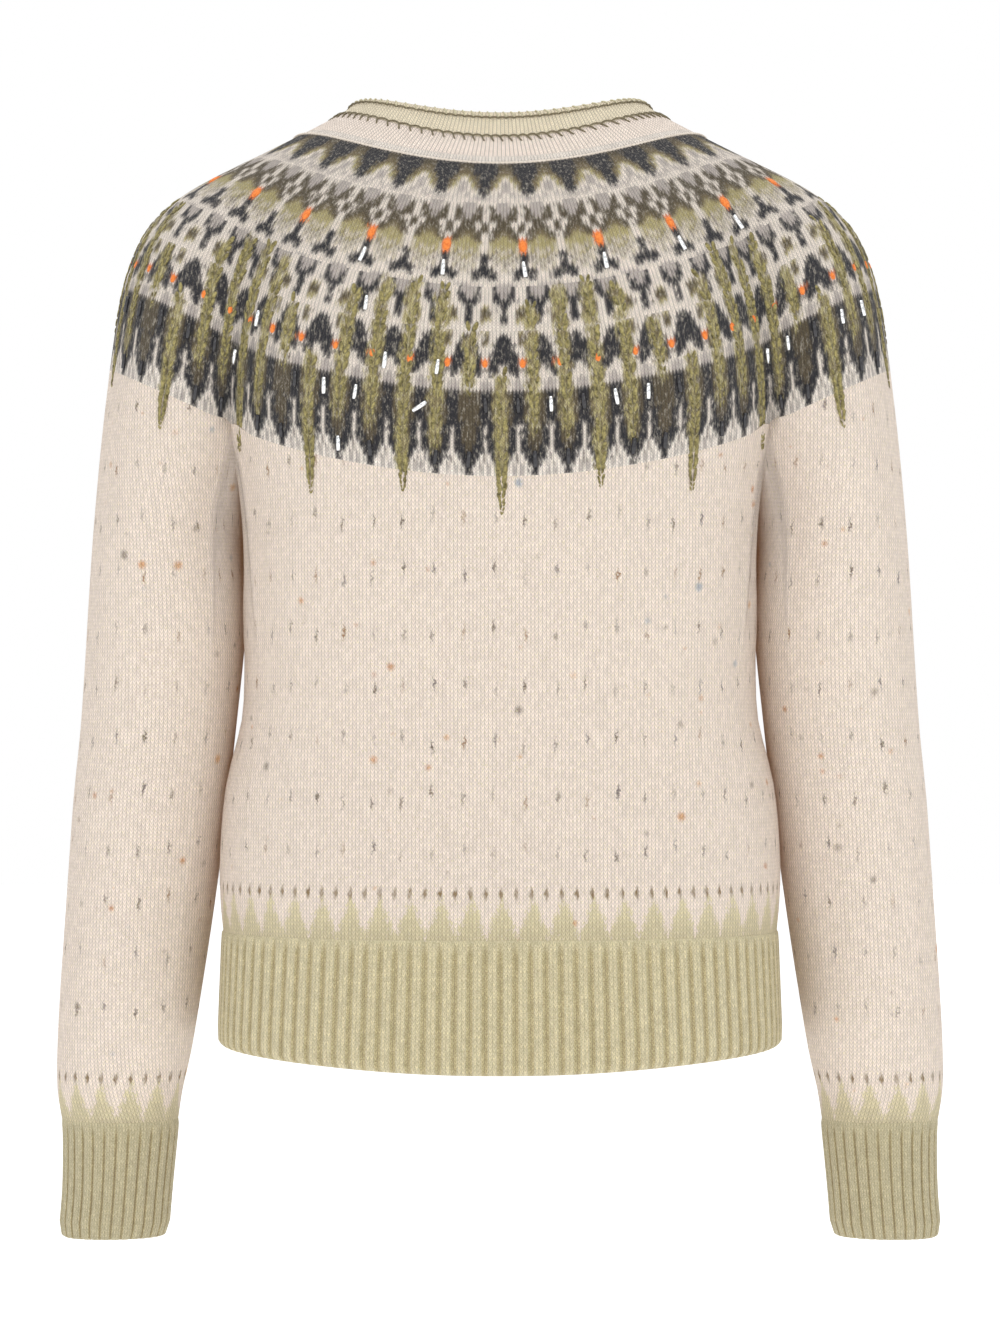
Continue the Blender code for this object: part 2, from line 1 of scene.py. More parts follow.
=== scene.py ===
"""The look of a round-yoke knitted cardigan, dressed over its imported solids.

Metres, +Z up, the wearer would face -Y. The camera looks at the back, as the photograph does.

The cloth's shape comes from the same tables as the solids, drawn finer. Each knitted piece is a closed
wall whose stitches are counted: u runs along a row in stitches and v down the cloth in rows, and every
knitted finish reads its loops from those two numbers.
"""

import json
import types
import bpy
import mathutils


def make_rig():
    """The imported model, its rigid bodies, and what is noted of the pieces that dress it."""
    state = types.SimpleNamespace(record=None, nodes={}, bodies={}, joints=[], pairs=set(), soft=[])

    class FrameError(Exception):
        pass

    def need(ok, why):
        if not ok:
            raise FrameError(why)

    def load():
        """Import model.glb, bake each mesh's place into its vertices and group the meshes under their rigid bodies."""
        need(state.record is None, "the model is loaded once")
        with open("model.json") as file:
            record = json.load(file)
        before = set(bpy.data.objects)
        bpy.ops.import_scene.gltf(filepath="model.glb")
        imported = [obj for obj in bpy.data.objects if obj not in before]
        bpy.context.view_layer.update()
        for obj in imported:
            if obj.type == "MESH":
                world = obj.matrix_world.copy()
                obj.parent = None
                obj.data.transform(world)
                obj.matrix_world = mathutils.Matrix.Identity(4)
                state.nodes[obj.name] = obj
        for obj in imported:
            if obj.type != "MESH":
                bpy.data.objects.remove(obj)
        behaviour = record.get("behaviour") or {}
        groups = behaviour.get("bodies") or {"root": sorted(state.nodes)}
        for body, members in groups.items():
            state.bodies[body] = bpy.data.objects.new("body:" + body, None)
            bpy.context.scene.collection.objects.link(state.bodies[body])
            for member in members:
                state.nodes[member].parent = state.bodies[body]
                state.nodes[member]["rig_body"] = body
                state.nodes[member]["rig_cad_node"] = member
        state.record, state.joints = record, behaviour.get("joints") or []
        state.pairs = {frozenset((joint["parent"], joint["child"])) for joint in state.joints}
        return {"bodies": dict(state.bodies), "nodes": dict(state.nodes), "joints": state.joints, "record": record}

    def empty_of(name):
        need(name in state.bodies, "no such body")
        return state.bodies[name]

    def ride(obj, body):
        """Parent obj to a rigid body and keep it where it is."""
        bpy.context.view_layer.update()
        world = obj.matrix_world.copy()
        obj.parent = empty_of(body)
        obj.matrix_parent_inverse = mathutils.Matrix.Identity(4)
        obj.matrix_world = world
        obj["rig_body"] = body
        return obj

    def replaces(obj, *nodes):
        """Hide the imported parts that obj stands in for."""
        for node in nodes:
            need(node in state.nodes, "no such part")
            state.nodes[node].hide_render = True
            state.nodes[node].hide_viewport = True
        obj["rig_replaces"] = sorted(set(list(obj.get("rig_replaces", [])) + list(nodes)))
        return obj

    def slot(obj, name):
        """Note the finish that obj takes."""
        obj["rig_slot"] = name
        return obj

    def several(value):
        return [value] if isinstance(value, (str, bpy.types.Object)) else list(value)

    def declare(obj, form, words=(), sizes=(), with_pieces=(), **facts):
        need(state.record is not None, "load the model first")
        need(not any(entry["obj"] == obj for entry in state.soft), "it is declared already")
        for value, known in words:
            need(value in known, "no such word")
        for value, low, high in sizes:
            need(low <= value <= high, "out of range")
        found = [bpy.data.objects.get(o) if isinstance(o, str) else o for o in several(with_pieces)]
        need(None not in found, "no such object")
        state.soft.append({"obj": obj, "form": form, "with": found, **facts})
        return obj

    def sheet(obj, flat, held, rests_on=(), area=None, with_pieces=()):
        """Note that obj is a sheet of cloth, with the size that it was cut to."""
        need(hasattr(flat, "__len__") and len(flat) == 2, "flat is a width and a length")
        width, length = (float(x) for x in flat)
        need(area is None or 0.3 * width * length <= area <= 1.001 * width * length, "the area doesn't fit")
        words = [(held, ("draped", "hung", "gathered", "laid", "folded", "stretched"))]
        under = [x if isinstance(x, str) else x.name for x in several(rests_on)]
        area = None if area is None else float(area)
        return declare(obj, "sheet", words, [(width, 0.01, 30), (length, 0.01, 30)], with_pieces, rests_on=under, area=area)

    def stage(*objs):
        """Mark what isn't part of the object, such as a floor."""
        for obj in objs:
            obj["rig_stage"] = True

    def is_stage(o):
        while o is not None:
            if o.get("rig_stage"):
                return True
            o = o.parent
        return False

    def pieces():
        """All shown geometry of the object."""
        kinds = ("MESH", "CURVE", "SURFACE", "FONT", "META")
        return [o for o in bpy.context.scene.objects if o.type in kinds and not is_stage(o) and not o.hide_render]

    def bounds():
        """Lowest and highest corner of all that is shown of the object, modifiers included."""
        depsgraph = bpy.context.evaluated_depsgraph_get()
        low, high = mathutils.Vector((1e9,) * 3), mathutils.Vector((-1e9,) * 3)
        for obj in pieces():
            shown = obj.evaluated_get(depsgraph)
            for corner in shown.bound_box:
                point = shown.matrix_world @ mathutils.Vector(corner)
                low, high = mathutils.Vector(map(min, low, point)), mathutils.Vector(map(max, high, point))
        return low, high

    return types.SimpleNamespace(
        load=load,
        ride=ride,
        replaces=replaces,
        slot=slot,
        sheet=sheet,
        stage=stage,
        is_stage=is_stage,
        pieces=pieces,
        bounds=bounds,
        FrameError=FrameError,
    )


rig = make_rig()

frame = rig.load()
CAD_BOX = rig.bounds()

import json
from collections import namedtuple
from math import asin, atan2, cos, exp, pi, radians, sin

import bpy
import numpy as np
from mathutils import Vector

# The knitting
WALL = 0.0024  # thickness of the cloth
SEAM_GAP = 0.0003  # between two pieces at a seam
RIB_RAISE = 0.0011  # how far a rib stands out of its groove
BODY_RIBS_BACK = 52  # ribs across the back of the hem
BODY_RIBS_FRONT = 24  # ribs on each front of the hem
CUFF_RIBS = 28  # ribs round each cuff

# Heights on the body
YOKE_LOW_BACK = -0.205  # the yoke's lower edge at the centre back
YOKE_LOW_FRONT = -0.272  # and at the centre front, below the lower front neck
CORNER_BACK = -0.172  # where body, sleeve and yoke meet, at the back
CORNER_FRONT = -0.176  # and at the front
UNDERARM = -0.228  # the lowest point of the armhole
SETTLED = -0.312  # below this the cloth hangs free of the armhole
HEM_RIB_TOP = -0.4723
HEM = -0.549  # the hem's edge at the centre back and front
HEM_SIDE_LIFT = 0.0085  # how much higher it is at the sides
HEM_CURVE = 2.5  # how closely that rise keeps to the sides
YOKE_CURVE = 2.2  # how closely the yoke's lower edge turns up at the corners
CORNER_TURN = radians(69.2)  # the corners' direction, from the centre back or front
UNDERARM_X = 0.1523

# Heights on the sleeve
SLEEVE_HIGH = -0.137  # the yoke's lower edge on the outside of the sleeve
CUFF_TOP = -0.5879
CUFF_END = -0.6605
CORNER_ROUND = radians(128.1)  # the corners' direction on the sleeve, from its outer side

# The front bands
BAND_HALF = 0.0145  # half the width of a button band
BAND_LAP = 0.0012  # how far the upper band reaches over the right front
BAND_TUCK = 0.0008  # how far its other edge stays back from the left front
BAND_CLEAR = 0.0005  # under the upper band

# How many stretches of cloth each edge is divided into
BACK_STEPS = 10  # centre back to the corner
ARMHOLE_STEPS = 4  # corner to the underarm
FRONT_STEPS = 10  # front corner to the button band
SLEEVE_STEPS = 16  # from corner to corner over the sleeve
UPPER_ROWS = 5  # rows from the yoke to SETTLED
YOKE_ROWS = 10

# Level sections of the body. squareness is the exponent of a superellipse, 2 for an ellipse.
BodyRow = namedtuple("BodyRow", "z half_width back front squareness")
BODY = [
    BodyRow(-0.172, 0.1680, 0.1200, 0.1270, 2.70),
    BodyRow(-0.210, 0.1585, 0.1195, 0.1290, 2.62),
    BodyRow(-0.250, 0.1560, 0.1165, 0.1280, 2.50),
    BodyRow(-0.280, 0.1552, 0.1125, 0.1230, 2.45),
    BodyRow(-0.312, 0.1532, 0.1080, 0.1180, 2.40),
    BodyRow(-0.342, 0.1542, 0.1045, 0.1120, 2.35),
    BodyRow(-0.369, 0.1616, 0.1035, 0.1090, 2.30),
    BodyRow(-0.400, 0.1664, 0.1040, 0.1080, 2.30),
    BodyRow(-0.438, 0.1684, 0.1085, 0.1110, 2.30),
    BodyRow(-0.456, 0.1676, 0.1110, 0.1130, 2.30),
    BodyRow(-0.4723, 0.1660, 0.1110, 0.1130, 2.30),
    BodyRow(-0.502, 0.1672, 0.1125, 0.1140, 2.30),
    BodyRow(-0.526, 0.1686, 0.1150, 0.1160, 2.30),
    BodyRow(-0.549, 0.1682, 0.1175, 0.1180, 2.30),
]
BODY_LEVELS = (-0.346, -0.385, -0.424, -0.452, HEM_RIB_TOP)
HEM_SHARES = (0.0, 0.12, 1.0)  # the ribbing's rows, from its top to its edge

# Level sections of the sleeve, ellipses whose centres swing a little forward and outward.
SleeveRow = namedtuple("SleeveRow", "z centre half_width half_depth forward")
SLEEVE = [
    SleeveRow(-0.137, 0.1857, 0.0480, 0.0780, 0.000),
    SleeveRow(-0.172, 0.1885, 0.0494, 0.0762, 0.000),
    SleeveRow(-0.228, 0.1985, 0.0449, 0.0625, 0.001),
    SleeveRow(-0.280, 0.1998, 0.0473, 0.0565, 0.002),
    SleeveRow(-0.312, 0.2018, 0.0474, 0.0535, 0.004),
    SleeveRow(-0.347, 0.2051, 0.0467, 0.0510, 0.007),
    SleeveRow(-0.370, 0.2074, 0.0468, 0.0500, 0.009),
    SleeveRow(-0.401, 0.2112, 0.0464, 0.0485, 0.012),
    SleeveRow(-0.439, 0.2151, 0.0454, 0.0470, 0.016),
    SleeveRow(-0.455, 0.2168, 0.0449, 0.0462, 0.017),
    SleeveRow(-0.503, 0.2224, 0.0430, 0.0435, 0.020),
    SleeveRow(-0.546, 0.2274, 0.0406, 0.0400, 0.024),
    SleeveRow(-0.570, 0.2302, 0.0379, 0.0360, 0.026),
    SleeveRow(-0.5879, 0.2304, 0.0352, 0.0315, 0.028),
    SleeveRow(-0.607, 0.2303, 0.0329, 0.0280, 0.029),
    SleeveRow(-0.632, 0.2324, 0.0325, 0.0268, 0.031),
    SleeveRow(-0.6605, 0.2350, 0.0326, 0.0268, 0.034),
]
SLEEVE_LEVELS = (-0.352, -0.392, -0.432, -0.472, -0.512, -0.546, -0.570, CUFF_TOP)
CUFF_LEVELS = (CUFF_TOP, -0.5970, -0.6300, CUFF_END)

# Rings round the neck. back and front are their reach from the middle.
Ring = namedtuple("Ring", "half_width back front z_back z_side z_front")
NECK_SEAM = Ring(0.1194, 0.085, 0.092, -0.0180, -0.0013, -0.083)
NECK_CHANGE = Ring(0.1005, 0.072, 0.084, -0.0052, 0.0093, -0.062)
NECK_RIM = Ring(0.0880, 0.062, 0.078, 0.0103, 0.0169, -0.043)
CREASE_REACH = 3.0  # columns either side of a corner over which the armhole crease fades upwards
CREASE_ROUNDS = 8  # of smoothing there

# How firmly the yoke keeps to its direction at either end, at the centre and at the shoulder
Handle = namedtuple("Handle", "centre shoulder")
HANDLE_TOP = Handle(0.062, 0.0906)
HANDLE_LOW = Handle(0.066, 0.1105)

# The trim's rows from its rim down: where it rolls, it stands out and is thicker.
TrimRow = namedtuple("TrimRow", "share raised thickness")
TRIM = [
    TrimRow(0.00, 0.0004, 0.0032),
    TrimRow(0.14, 0.0014, 0.0038),
    TrimRow(0.36, 0.0002, WALL),
    TrimRow(1.00, 0.0000, WALL),
]


# Curves and tables


def along(rows, column, z):
    """The named column of a table at height z, on a smooth curve through its rows."""
    heights = [row.z for row in rows]
    values = [getattr(row, column) for row in rows]
    last = len(rows) - 1
    at = min(max(sum(z < height for height in heights) - 1, 0), last - 1)

    def slope(i):
        low, high = max(i - 1, 0), min(i + 1, last)
        return (values[high] - values[low]) / (heights[high] - heights[low])

    span = heights[at + 1] - heights[at]
    t = (z - heights[at]) / span
    rise = (1 + 2 * t) * (1 - t) ** 2 * values[at] + t * t * (3 - 2 * t) * values[at + 1]
    return rise + span * (t * (1 - t) ** 2 * slope(at) - t * t * (1 - t) * slope(at + 1))


def ease(t):
    """0 to 1 with a level start and end."""
    t = min(max(t, 0.0), 1.0)
    return t * t * (3 - 2 * t)


def shares_of(points):
    """How far along the line each of its points lies, from 0 to 1."""
    lengths = [0.0]
    for a, b in zip(points, points[1:]):
        lengths.append(lengths[-1] + (b - a).length)
    return [length / lengths[-1] for length in lengths]


def spaced(curve, start, end, shares, samples=240):
    """Points of curve(angle) at these shares of its length from start to end."""
    angles = [start + (end - start) * i / samples for i in range(samples + 1)]
    reached = shares_of([curve(angle) for angle in angles])
    found = []
    at = 0
    for share in shares:
        while at < samples - 1 and reached[at + 1] < share:
            at += 1
        t = (share - reached[at]) / (reached[at + 1] - reached[at])
        found.append(curve(angles[at] + (angles[at + 1] - angles[at]) * t))
    return found


def even(steps):
    return [i / steps for i in range(steps + 1)]


def bezier(p0, p1, p2, p3, t):
    s = 1 - t
    return p0 * s**3 + p1 * (3 * s * s * t) + p2 * (3 * s * t * t) + p3 * t**3


# Outer faces


def body_at(turn, z):
    """The body's outer face in the direction turn, measured from the centre back towards +X."""
    n = along(BODY, "squareness", z)
    half = along(BODY, "half_width", z)
    depth = along(BODY, "back" if cos(turn) > 0 else "front", z)
    reach = (abs(sin(turn) / half) ** n + abs(cos(turn) / depth) ** n) ** (-1 / n)
    return Vector((reach * sin(turn), reach * cos(turn), z))


def front_at(x, z):
    """The body's outer face at the front, straight ahead of x."""
    n = along(BODY, "squareness", z)
    depth = along(BODY, "front", z) * (1 - abs(x / along(BODY, "half_width", z)) ** n) ** (1 / n)
    return Vector((x, -depth, z))


def hem_height(x, share):
    """The height of the hem's ribbing at x, share running from its top to its edge."""
    side = (abs(x) / along(BODY, "half_width", HEM)) ** HEM_CURVE
    return HEM_RIB_TOP + (HEM + HEM_SIDE_LIFT * side - HEM_RIB_TOP) * share


def turn_to_band(z):
    edge = front_at(BAND_HALF, z)
    return atan2(edge.x, edge.y)


def sleeve_at(angle, z):
    """The left sleeve's outer face. angle is 0 on the outer side and a quarter turn at the back."""
    x = along(SLEEVE, "centre", z) + along(SLEEVE, "half_width", z) * cos(angle)
    y = along(SLEEVE, "half_depth", z) * sin(angle) - along(SLEEVE, "forward", z)
    return Vector((x, y, z))


def ring_at(ring, turn):
    middle = (ring.z_back + ring.z_front) / 2
    flat = (middle + ring.z_side) / 2
    z = flat + (ring.z_back - ring.z_front) / 2 * cos(turn) + (middle - flat) * cos(2 * turn)
    reach = ring.back if cos(turn) > 0 else ring.front
    return Vector((ring.half_width * sin(turn), reach * cos(turn), z))


def ring_in_front(ring, x):
    return ring_at(ring, pi - asin(x / ring.half_width))


def armhole_at(angle):
    """The armhole's edge: 0 at the back corner, a quarter turn under the arm, a half in front."""
    back = cos(angle) > 0
    z = CORNER_BACK if back else CORNER_FRONT
    corner = body_at(CORNER_TURN if back else pi - CORNER_TURN, z)
    down = sin(angle)
    x = corner.x + (UNDERARM_X - corner.x) * down
    return Vector((x, corner.y * abs(cos(angle)), z + (UNDERARM - z) * down))


def yoke_low(share, z_centre, z_corner):
    """The height of the yoke's lower edge on the body, share running from centre to corner."""
    return z_centre + (z_corner - z_centre) * share**YOKE_CURVE


def yoke_controls(seam, change, low, lower):
    """The control points of the yoke's curve from the neck seam down to a point of its lower edge.

    change is the point of the neckband above the seam, and lower the next point of the cloth below.
    """
    shoulder = (seam.x / NECK_SEAM.half_width) ** 2
    leave = (seam - change).normalized()
    arrive = (lower - low).normalized()
    top = HANDLE_TOP.centre + (HANDLE_TOP.shoulder - HANDLE_TOP.centre) * shoulder
    end = HANDLE_LOW.centre + (HANDLE_LOW.shoulder - HANDLE_LOW.centre) * shoulder
    return [seam, seam + leave * top, low - arrive * end, low]


def fade_creases(controls, corners):
    """Evens out the lower handles near the corners, so that the armhole creases fade upwards."""
    handles = [points[2] for points in controls]
    smooth = handles
    for _ in range(CREASE_ROUNDS):
        before = [Vector((-smooth[1].x, smooth[1].y, smooth[1].z))] + smooth[:-1]
        after = smooth[1:] + smooth[-1:]
        smooth = [(a + b * 2 + c) / 4 for a, b, c in zip(before, smooth, after)]
    for i, points in enumerate(controls[:-1]):
        nearness = sum(exp(-(((i - corner) / CREASE_REACH) ** 2)) for corner in corners)
        points[2] = handles[i].lerp(smooth[i], min(nearness, 1.0))


def yoke_column(controls):
    return [bezier(*controls, t) for t in even(YOKE_ROWS)]


# Panels


class Panel:
    """Rows of points on a piece's outer face, top row first, and the way out at each."""

    def __init__(self, face, out=None, around=False):
        self.face = face
        self.around = around
        self.out = out or self.ways_out()

    def ways_out(self):
        rows, columns = len(self.face), len(self.face[0])
        out = []
        for r in range(rows):
            above, below = self.face[max(r - 1, 0)], self.face[min(r + 1, rows - 1)]
            row = self.face[r]
            ways = []
            for c in range(columns):
                before, after = c - 1, c + 1
                if self.around:
                    after %= columns
                else:
                    before, after = max(before, 0), min(after, columns - 1)
                way = (row[after] - row[before]).cross(below[c] - above[c])
                if abs(row[c].x) < 1e-9:
                    way.x = 0  # on the centre line the cloth faces straight back or front
                ways.append(way.normalized())
            out.append(ways)
        return out

    def level(self, r):
        """Lets the cloth face level along a row, where ribbing meets it edge to edge."""
        self.out[r] = [Vector((way.x, way.y, 0)).normalized() for way in self.out[r]]

    def mirrored(self):
        def turned(grid):
            return [[Vector((-v.x, v.y, v.z)) for v in reversed(row)] for row in grid]

        return Panel(turned(self.face), turned(self.out), self.around)

    def whole(self):
        """The half from the centre back, joined to its mirror image."""
        other = self.mirrored()
        face = [a[:-1] + b for a, b in zip(other.face, self.face)]
        out = [a[:-1] + b for a, b in zip(other.out, self.out)]
        return Panel(face, out)

    def columns(self, first, last):
        face = [row[first : last + 1] for row in self.face]
        return Panel(face, [row[first : last + 1] for row in self.out])

    def drawn_in(self, top=True, bottom=True, sides=True):
        """The panel with its sewn edges drawn in by half a seam's gap."""
        face = [list(row) for row in self.face]

        def drawn(edge, inner):
            return edge + (inner - edge).normalized() * (SEAM_GAP / 2)

        if top:
            face[0] = [drawn(a, b) for a, b in zip(face[0], face[1])]
        if bottom:
            face[-1] = [drawn(a, b) for a, b in zip(face[-1], face[-2])]
        if sides and not self.around:
            for row in face:
                row[0], row[-1] = drawn(row[0], row[1]), drawn(row[-1], row[-2])
        return Panel(face, self.out, self.around)


def match(above, above_from, below, below_from, count):
    """Gives two panels one way out along the seam where above's last row meets below's first."""
    for i in range(count):
        upper, lower = above.out[-1], below.out[0]
        mean = (upper[above_from + i] + lower[below_from + i]).normalized()
        upper[above_from + i] = lower[below_from + i] = mean


def body_panel():
    """The left half of the body, from the centre back round to the button band."""
    columns = []  # each is its top point, its turn at a height, and its top height
    for share in even(BACK_STEPS):
        turn = CORNER_TURN * share
        z = yoke_low(share, YOKE_LOW_BACK, CORNER_BACK)
        columns.append((body_at(turn, z), lambda z, turn=turn: turn))
    for i in range(1, 2 * ARMHOLE_STEPS):
        angle = pi * i / (2 * ARMHOLE_STEPS)
        turn = pi / 2 - (pi / 2 - CORNER_TURN) * cos(angle)
        columns.append((armhole_at(angle), lambda z, turn=turn: turn))
    for share in even(FRONT_STEPS):
        z = yoke_low(1 - share, YOKE_LOW_FRONT, CORNER_FRONT)

        def turn_at(z, share=share):
            return (pi - CORNER_TURN) * (1 - share) + turn_to_band(z) * share

        columns.append((body_at(turn_at(z), z), turn_at))
    return Panel(hung(columns, body_at, BODY_LEVELS))


def hung(columns, surface, levels):
    """Rows of cloth that start on each column's own top point and hang onto the surface."""
    face = []
    for step in even(UPPER_ROWS):
        row = []
        for top, turn_at in columns:
            z = top.z + (SETTLED - top.z) * step
            pull = top - surface(turn_at(top.z), top.z)
            row.append(surface(turn_at(z), z) + pull * (1 - ease(step)))
        face.append(row)
    for z in levels:
        face.append([surface(turn_at(z), z) for _, turn_at in columns])
    return face


def sleeve_panel():
    """The left sleeve, from the underarm round by the back, the outer side and the front."""
    columns = []
    for i in range(ARMHOLE_STEPS + 1):
        angle = pi / 2 - pi / 2 * i / ARMHOLE_STEPS
        columns.append((armhole_at(angle), pi - (pi - CORNER_ROUND) * cos(angle)))
    corner_back, corner_front = armhole_at(0), armhole_at(pi)
    for i in range(1, SLEEVE_STEPS):
        share = i / SLEEVE_STEPS
        angle = CORNER_ROUND * (1 - 2 * share)
        corner = corner_back if share < 0.5 else corner_front
        rise = (1 - cos(angle)) / (1 - cos(CORNER_ROUND))
        z = SLEEVE_HIGH + (corner.z - SLEEVE_HIGH) * rise
        at_corner = sleeve_at(CORNER_ROUND if share < 0.5 else -CORNER_ROUND, corner.z)
        pull = (corner - at_corner) * ease(abs(2 * share - 1))
        columns.append((sleeve_at(angle, z) + pull, angle))
    for i in range(ARMHOLE_STEPS):
        angle = pi - pi / 2 * i / ARMHOLE_STEPS
        columns.append((armhole_at(angle), -pi - (pi - CORNER_ROUND) * cos(angle)))
    columns = [(top, lambda z, angle=angle: angle) for top, angle in columns]
    return Panel(hung(columns, sleeve_at, SLEEVE_LEVELS), around=True)


def ring_points(ring, shares):
    end = pi - asin(BAND_HALF / ring.half_width)
    return spaced(lambda turn: ring_at(ring, turn), 0, end, shares)


def between(high, low, shares):
    """Rows at these shares of the way from one row down to another."""
    return [[a.lerp(b, share) for a, b in zip(high, low)] for share in shares]


def neck_and_yoke(body, sleeve):
    """The left halves of the trim, the neckband and the yoke."""
    back, front = BACK_STEPS + 1, BACK_STEPS + 2 * ARMHOLE_STEPS + 1
    over = slice(ARMHOLE_STEPS + 1, ARMHOLE_STEPS + SLEEVE_STEPS)

    def edge(r):
        return body.face[r][:back] + sleeve.face[r][over] + body.face[r][front - 1 :]

    low, lower = edge(0), edge(1)
    for corner, on_sleeve in (
        (BACK_STEPS, ARMHOLE_STEPS),
        (BACK_STEPS + SLEEVE_STEPS, ARMHOLE_STEPS + SLEEVE_STEPS),
    ):
        lower[corner] = (lower[corner] + sleeve.face[1][on_sleeve]) / 2
    shares = shares_of(low)
    rim, change, seam = (ring_points(ring, shares) for ring in (NECK_RIM, NECK_CHANGE, NECK_SEAM))
    controls = [yoke_controls(*points) for points in zip(seam, change, low, lower)]
    fade_creases(controls, (BACK_STEPS, BACK_STEPS + SLEEVE_STEPS))
    yoke = Panel([list(row) for row in zip(*map(yoke_column, controls))])
    trim = Panel(between(rim, change, [row.share for row in TRIM]))
    neck = Panel(between(change, seam, even(1)))
    match(trim, 0, neck, 0, len(shares))
    match(neck, 0, yoke, 0, len(shares))
    match(yoke, 0, body, 0, back)
    match(yoke, BACK_STEPS, sleeve, ARMHOLE_STEPS, SLEEVE_STEPS + 1)
    match(yoke, BACK_STEPS + SLEEVE_STEPS, body, front - 1, FRONT_STEPS + 1)
    return trim, neck, yoke


def hem_panel():
    """The left half of the hem's ribbing, with a column for each rib and each groove."""
    rows = []
    for share in HEM_SHARES:

        def curve(turn, share=share):
            return body_at(turn, hem_height(along(BODY, "half_width", HEM) * sin(turn), share))

        back = spaced(curve, 0, pi / 2, even(BODY_RIBS_BACK))
        band = turn_to_band(hem_height(BAND_HALF, share))
        front = spaced(curve, pi / 2, band, even(2 * BODY_RIBS_FRONT))
        rows.append(back + front[1:])
    panel = Panel(rows)
    panel.level(0)
    return panel


def cuff_panel():
    rows = []
    for z in CUFF_LEVELS:
        ring = spaced(lambda angle: sleeve_at(angle, z), pi, -pi, even(2 * CUFF_RIBS))
        rows.append(ring[:-1])
    panel = Panel(rows, around=True)
    panel.level(0)
    return panel


def front_strip(xs):
    """The front from the rim down to the hem, straight down at each x."""
    columns = []
    for x in xs:
        rim, change, seam = (ring_in_front(r, x) for r in (NECK_RIM, NECK_CHANGE, NECK_SEAM))
        below = YOKE_LOW_FRONT + (SETTLED - YOKE_LOW_FRONT) / UPPER_ROWS
        low, lower = front_at(x, YOKE_LOW_FRONT), front_at(x, below)
        column = [rim.lerp(change, row.share) for row in TRIM]
        column += yoke_column(yoke_controls(seam, change, low, lower))
        for step in even(UPPER_ROWS)[1:]:
            column.append(front_at(x, YOKE_LOW_FRONT + (SETTLED - YOKE_LOW_FRONT) * step))
        column += [front_at(x, z) for z in BODY_LEVELS]
        column += [front_at(x, hem_height(x, share)) for share in HEM_SHARES[1:]]
        columns.append(column)
    return Panel([list(row) for row in zip(*columns)])


# Finer cloth

WALE = 0.00222  # one stitch's width on the body
COURSE = 0.00175  # one row's height
SLEEVE_WALE = 0.00238
FINE = 3  # fine steps for each step of the solids' tables
RIB_STEPS = 6  # fine columns from a groove to the rib's crest beside it
RIB_ROWS = 8  # rows of ribbing between its top and the turn of its edge
ROLL_ROWS = (0.035, 0.016, 0.005, 0.0)  # rows up from the edge, closest where it turns in most
RIB_START = (0.0, 0.5, 1.0)  # rows over which the ribs and their grooves begin
TUCK = 0.0006  # how far ribbing goes up under the cloth above it
EDGE_ROLL = 0.0065  # radius at which the ribbing's lower edge turns in
EDGE = radians(70)  # faces that meet more steeply than this keep a crisp edge between them


def through(values, where):
    """A smooth curve along the second axis of values, read at where[i] along each line i."""
    ends = 2 * values[:, :1] - values[:, 1:2], 2 * values[:, -1:] - values[:, -2:-1]
    padded = np.concatenate([ends[0], values, ends[1]], axis=1)
    where = np.clip(where, 0, values.shape[1] - 1)
    cell = np.minimum(where.astype(int), values.shape[1] - 2)
    t = (where - cell)[..., None]
    line = np.arange(len(values))[:, None]
    a, b, c, d = (padded[line, cell + k] for k in range(4))
    return b + t / 2 * (c - a + t * (2 * a - 5 * b + 4 * c - d + t * (3 * (b - c) + d - a)))


def lengths(points):
    """The length reached at each point of each line, along the second axis."""
    steps = np.linalg.norm(np.diff(points, axis=1), axis=2)
    return np.concatenate([np.zeros((len(points), 1)), np.cumsum(steps, axis=1)], axis=1)


class Skin:
    """A panel's outer face as a smooth surface, read at whole or part columns and rows."""

    def __init__(self, panel):
        face, out = np.array(panel.face), np.array(panel.out)
        if panel.around:  # closed: three more columns on either side keep the join smooth
            face, out = (np.concatenate([g[:, -3:], g, g[:, :4]], axis=1) for g in (face, out))
        self.lead = 3 if panel.around else 0
        self.face, self.out = face, out
        self.rows, self.columns = len(panel.face) - 1, len(panel.face[0]) - 1

    def at(self, columns, rows):
        """Points and ways out, as lines down the cloth: rows is one list, or one for each column."""
        columns = np.asarray(columns, float) + self.lead
        rows = np.broadcast_to(rows, (len(columns), np.shape(rows)[-1]))
        read = []
        for grid in (self.face, self.out):
            lines = through(grid, np.broadcast_to(columns, (len(grid), len(columns))))
            read.append(through(lines.transpose(1, 0, 2), rows))
        way = read[1]
        return read[0], way / np.linalg.norm(way, axis=2, keepdims=True)

    def rows_at(self, columns, shares):
        """The row numbers at these shares of each column's length."""
        fine = np.linspace(0, self.rows, self.rows * 8 + 1)
        reached = lengths(self.at(columns, fine)[0])
        shares = np.broadcast_to(shares, (len(columns), np.shape(shares)[-1]))
        return np.array([np.interp(s * r[-1], r, fine) for s, r in zip(shares, reached)])


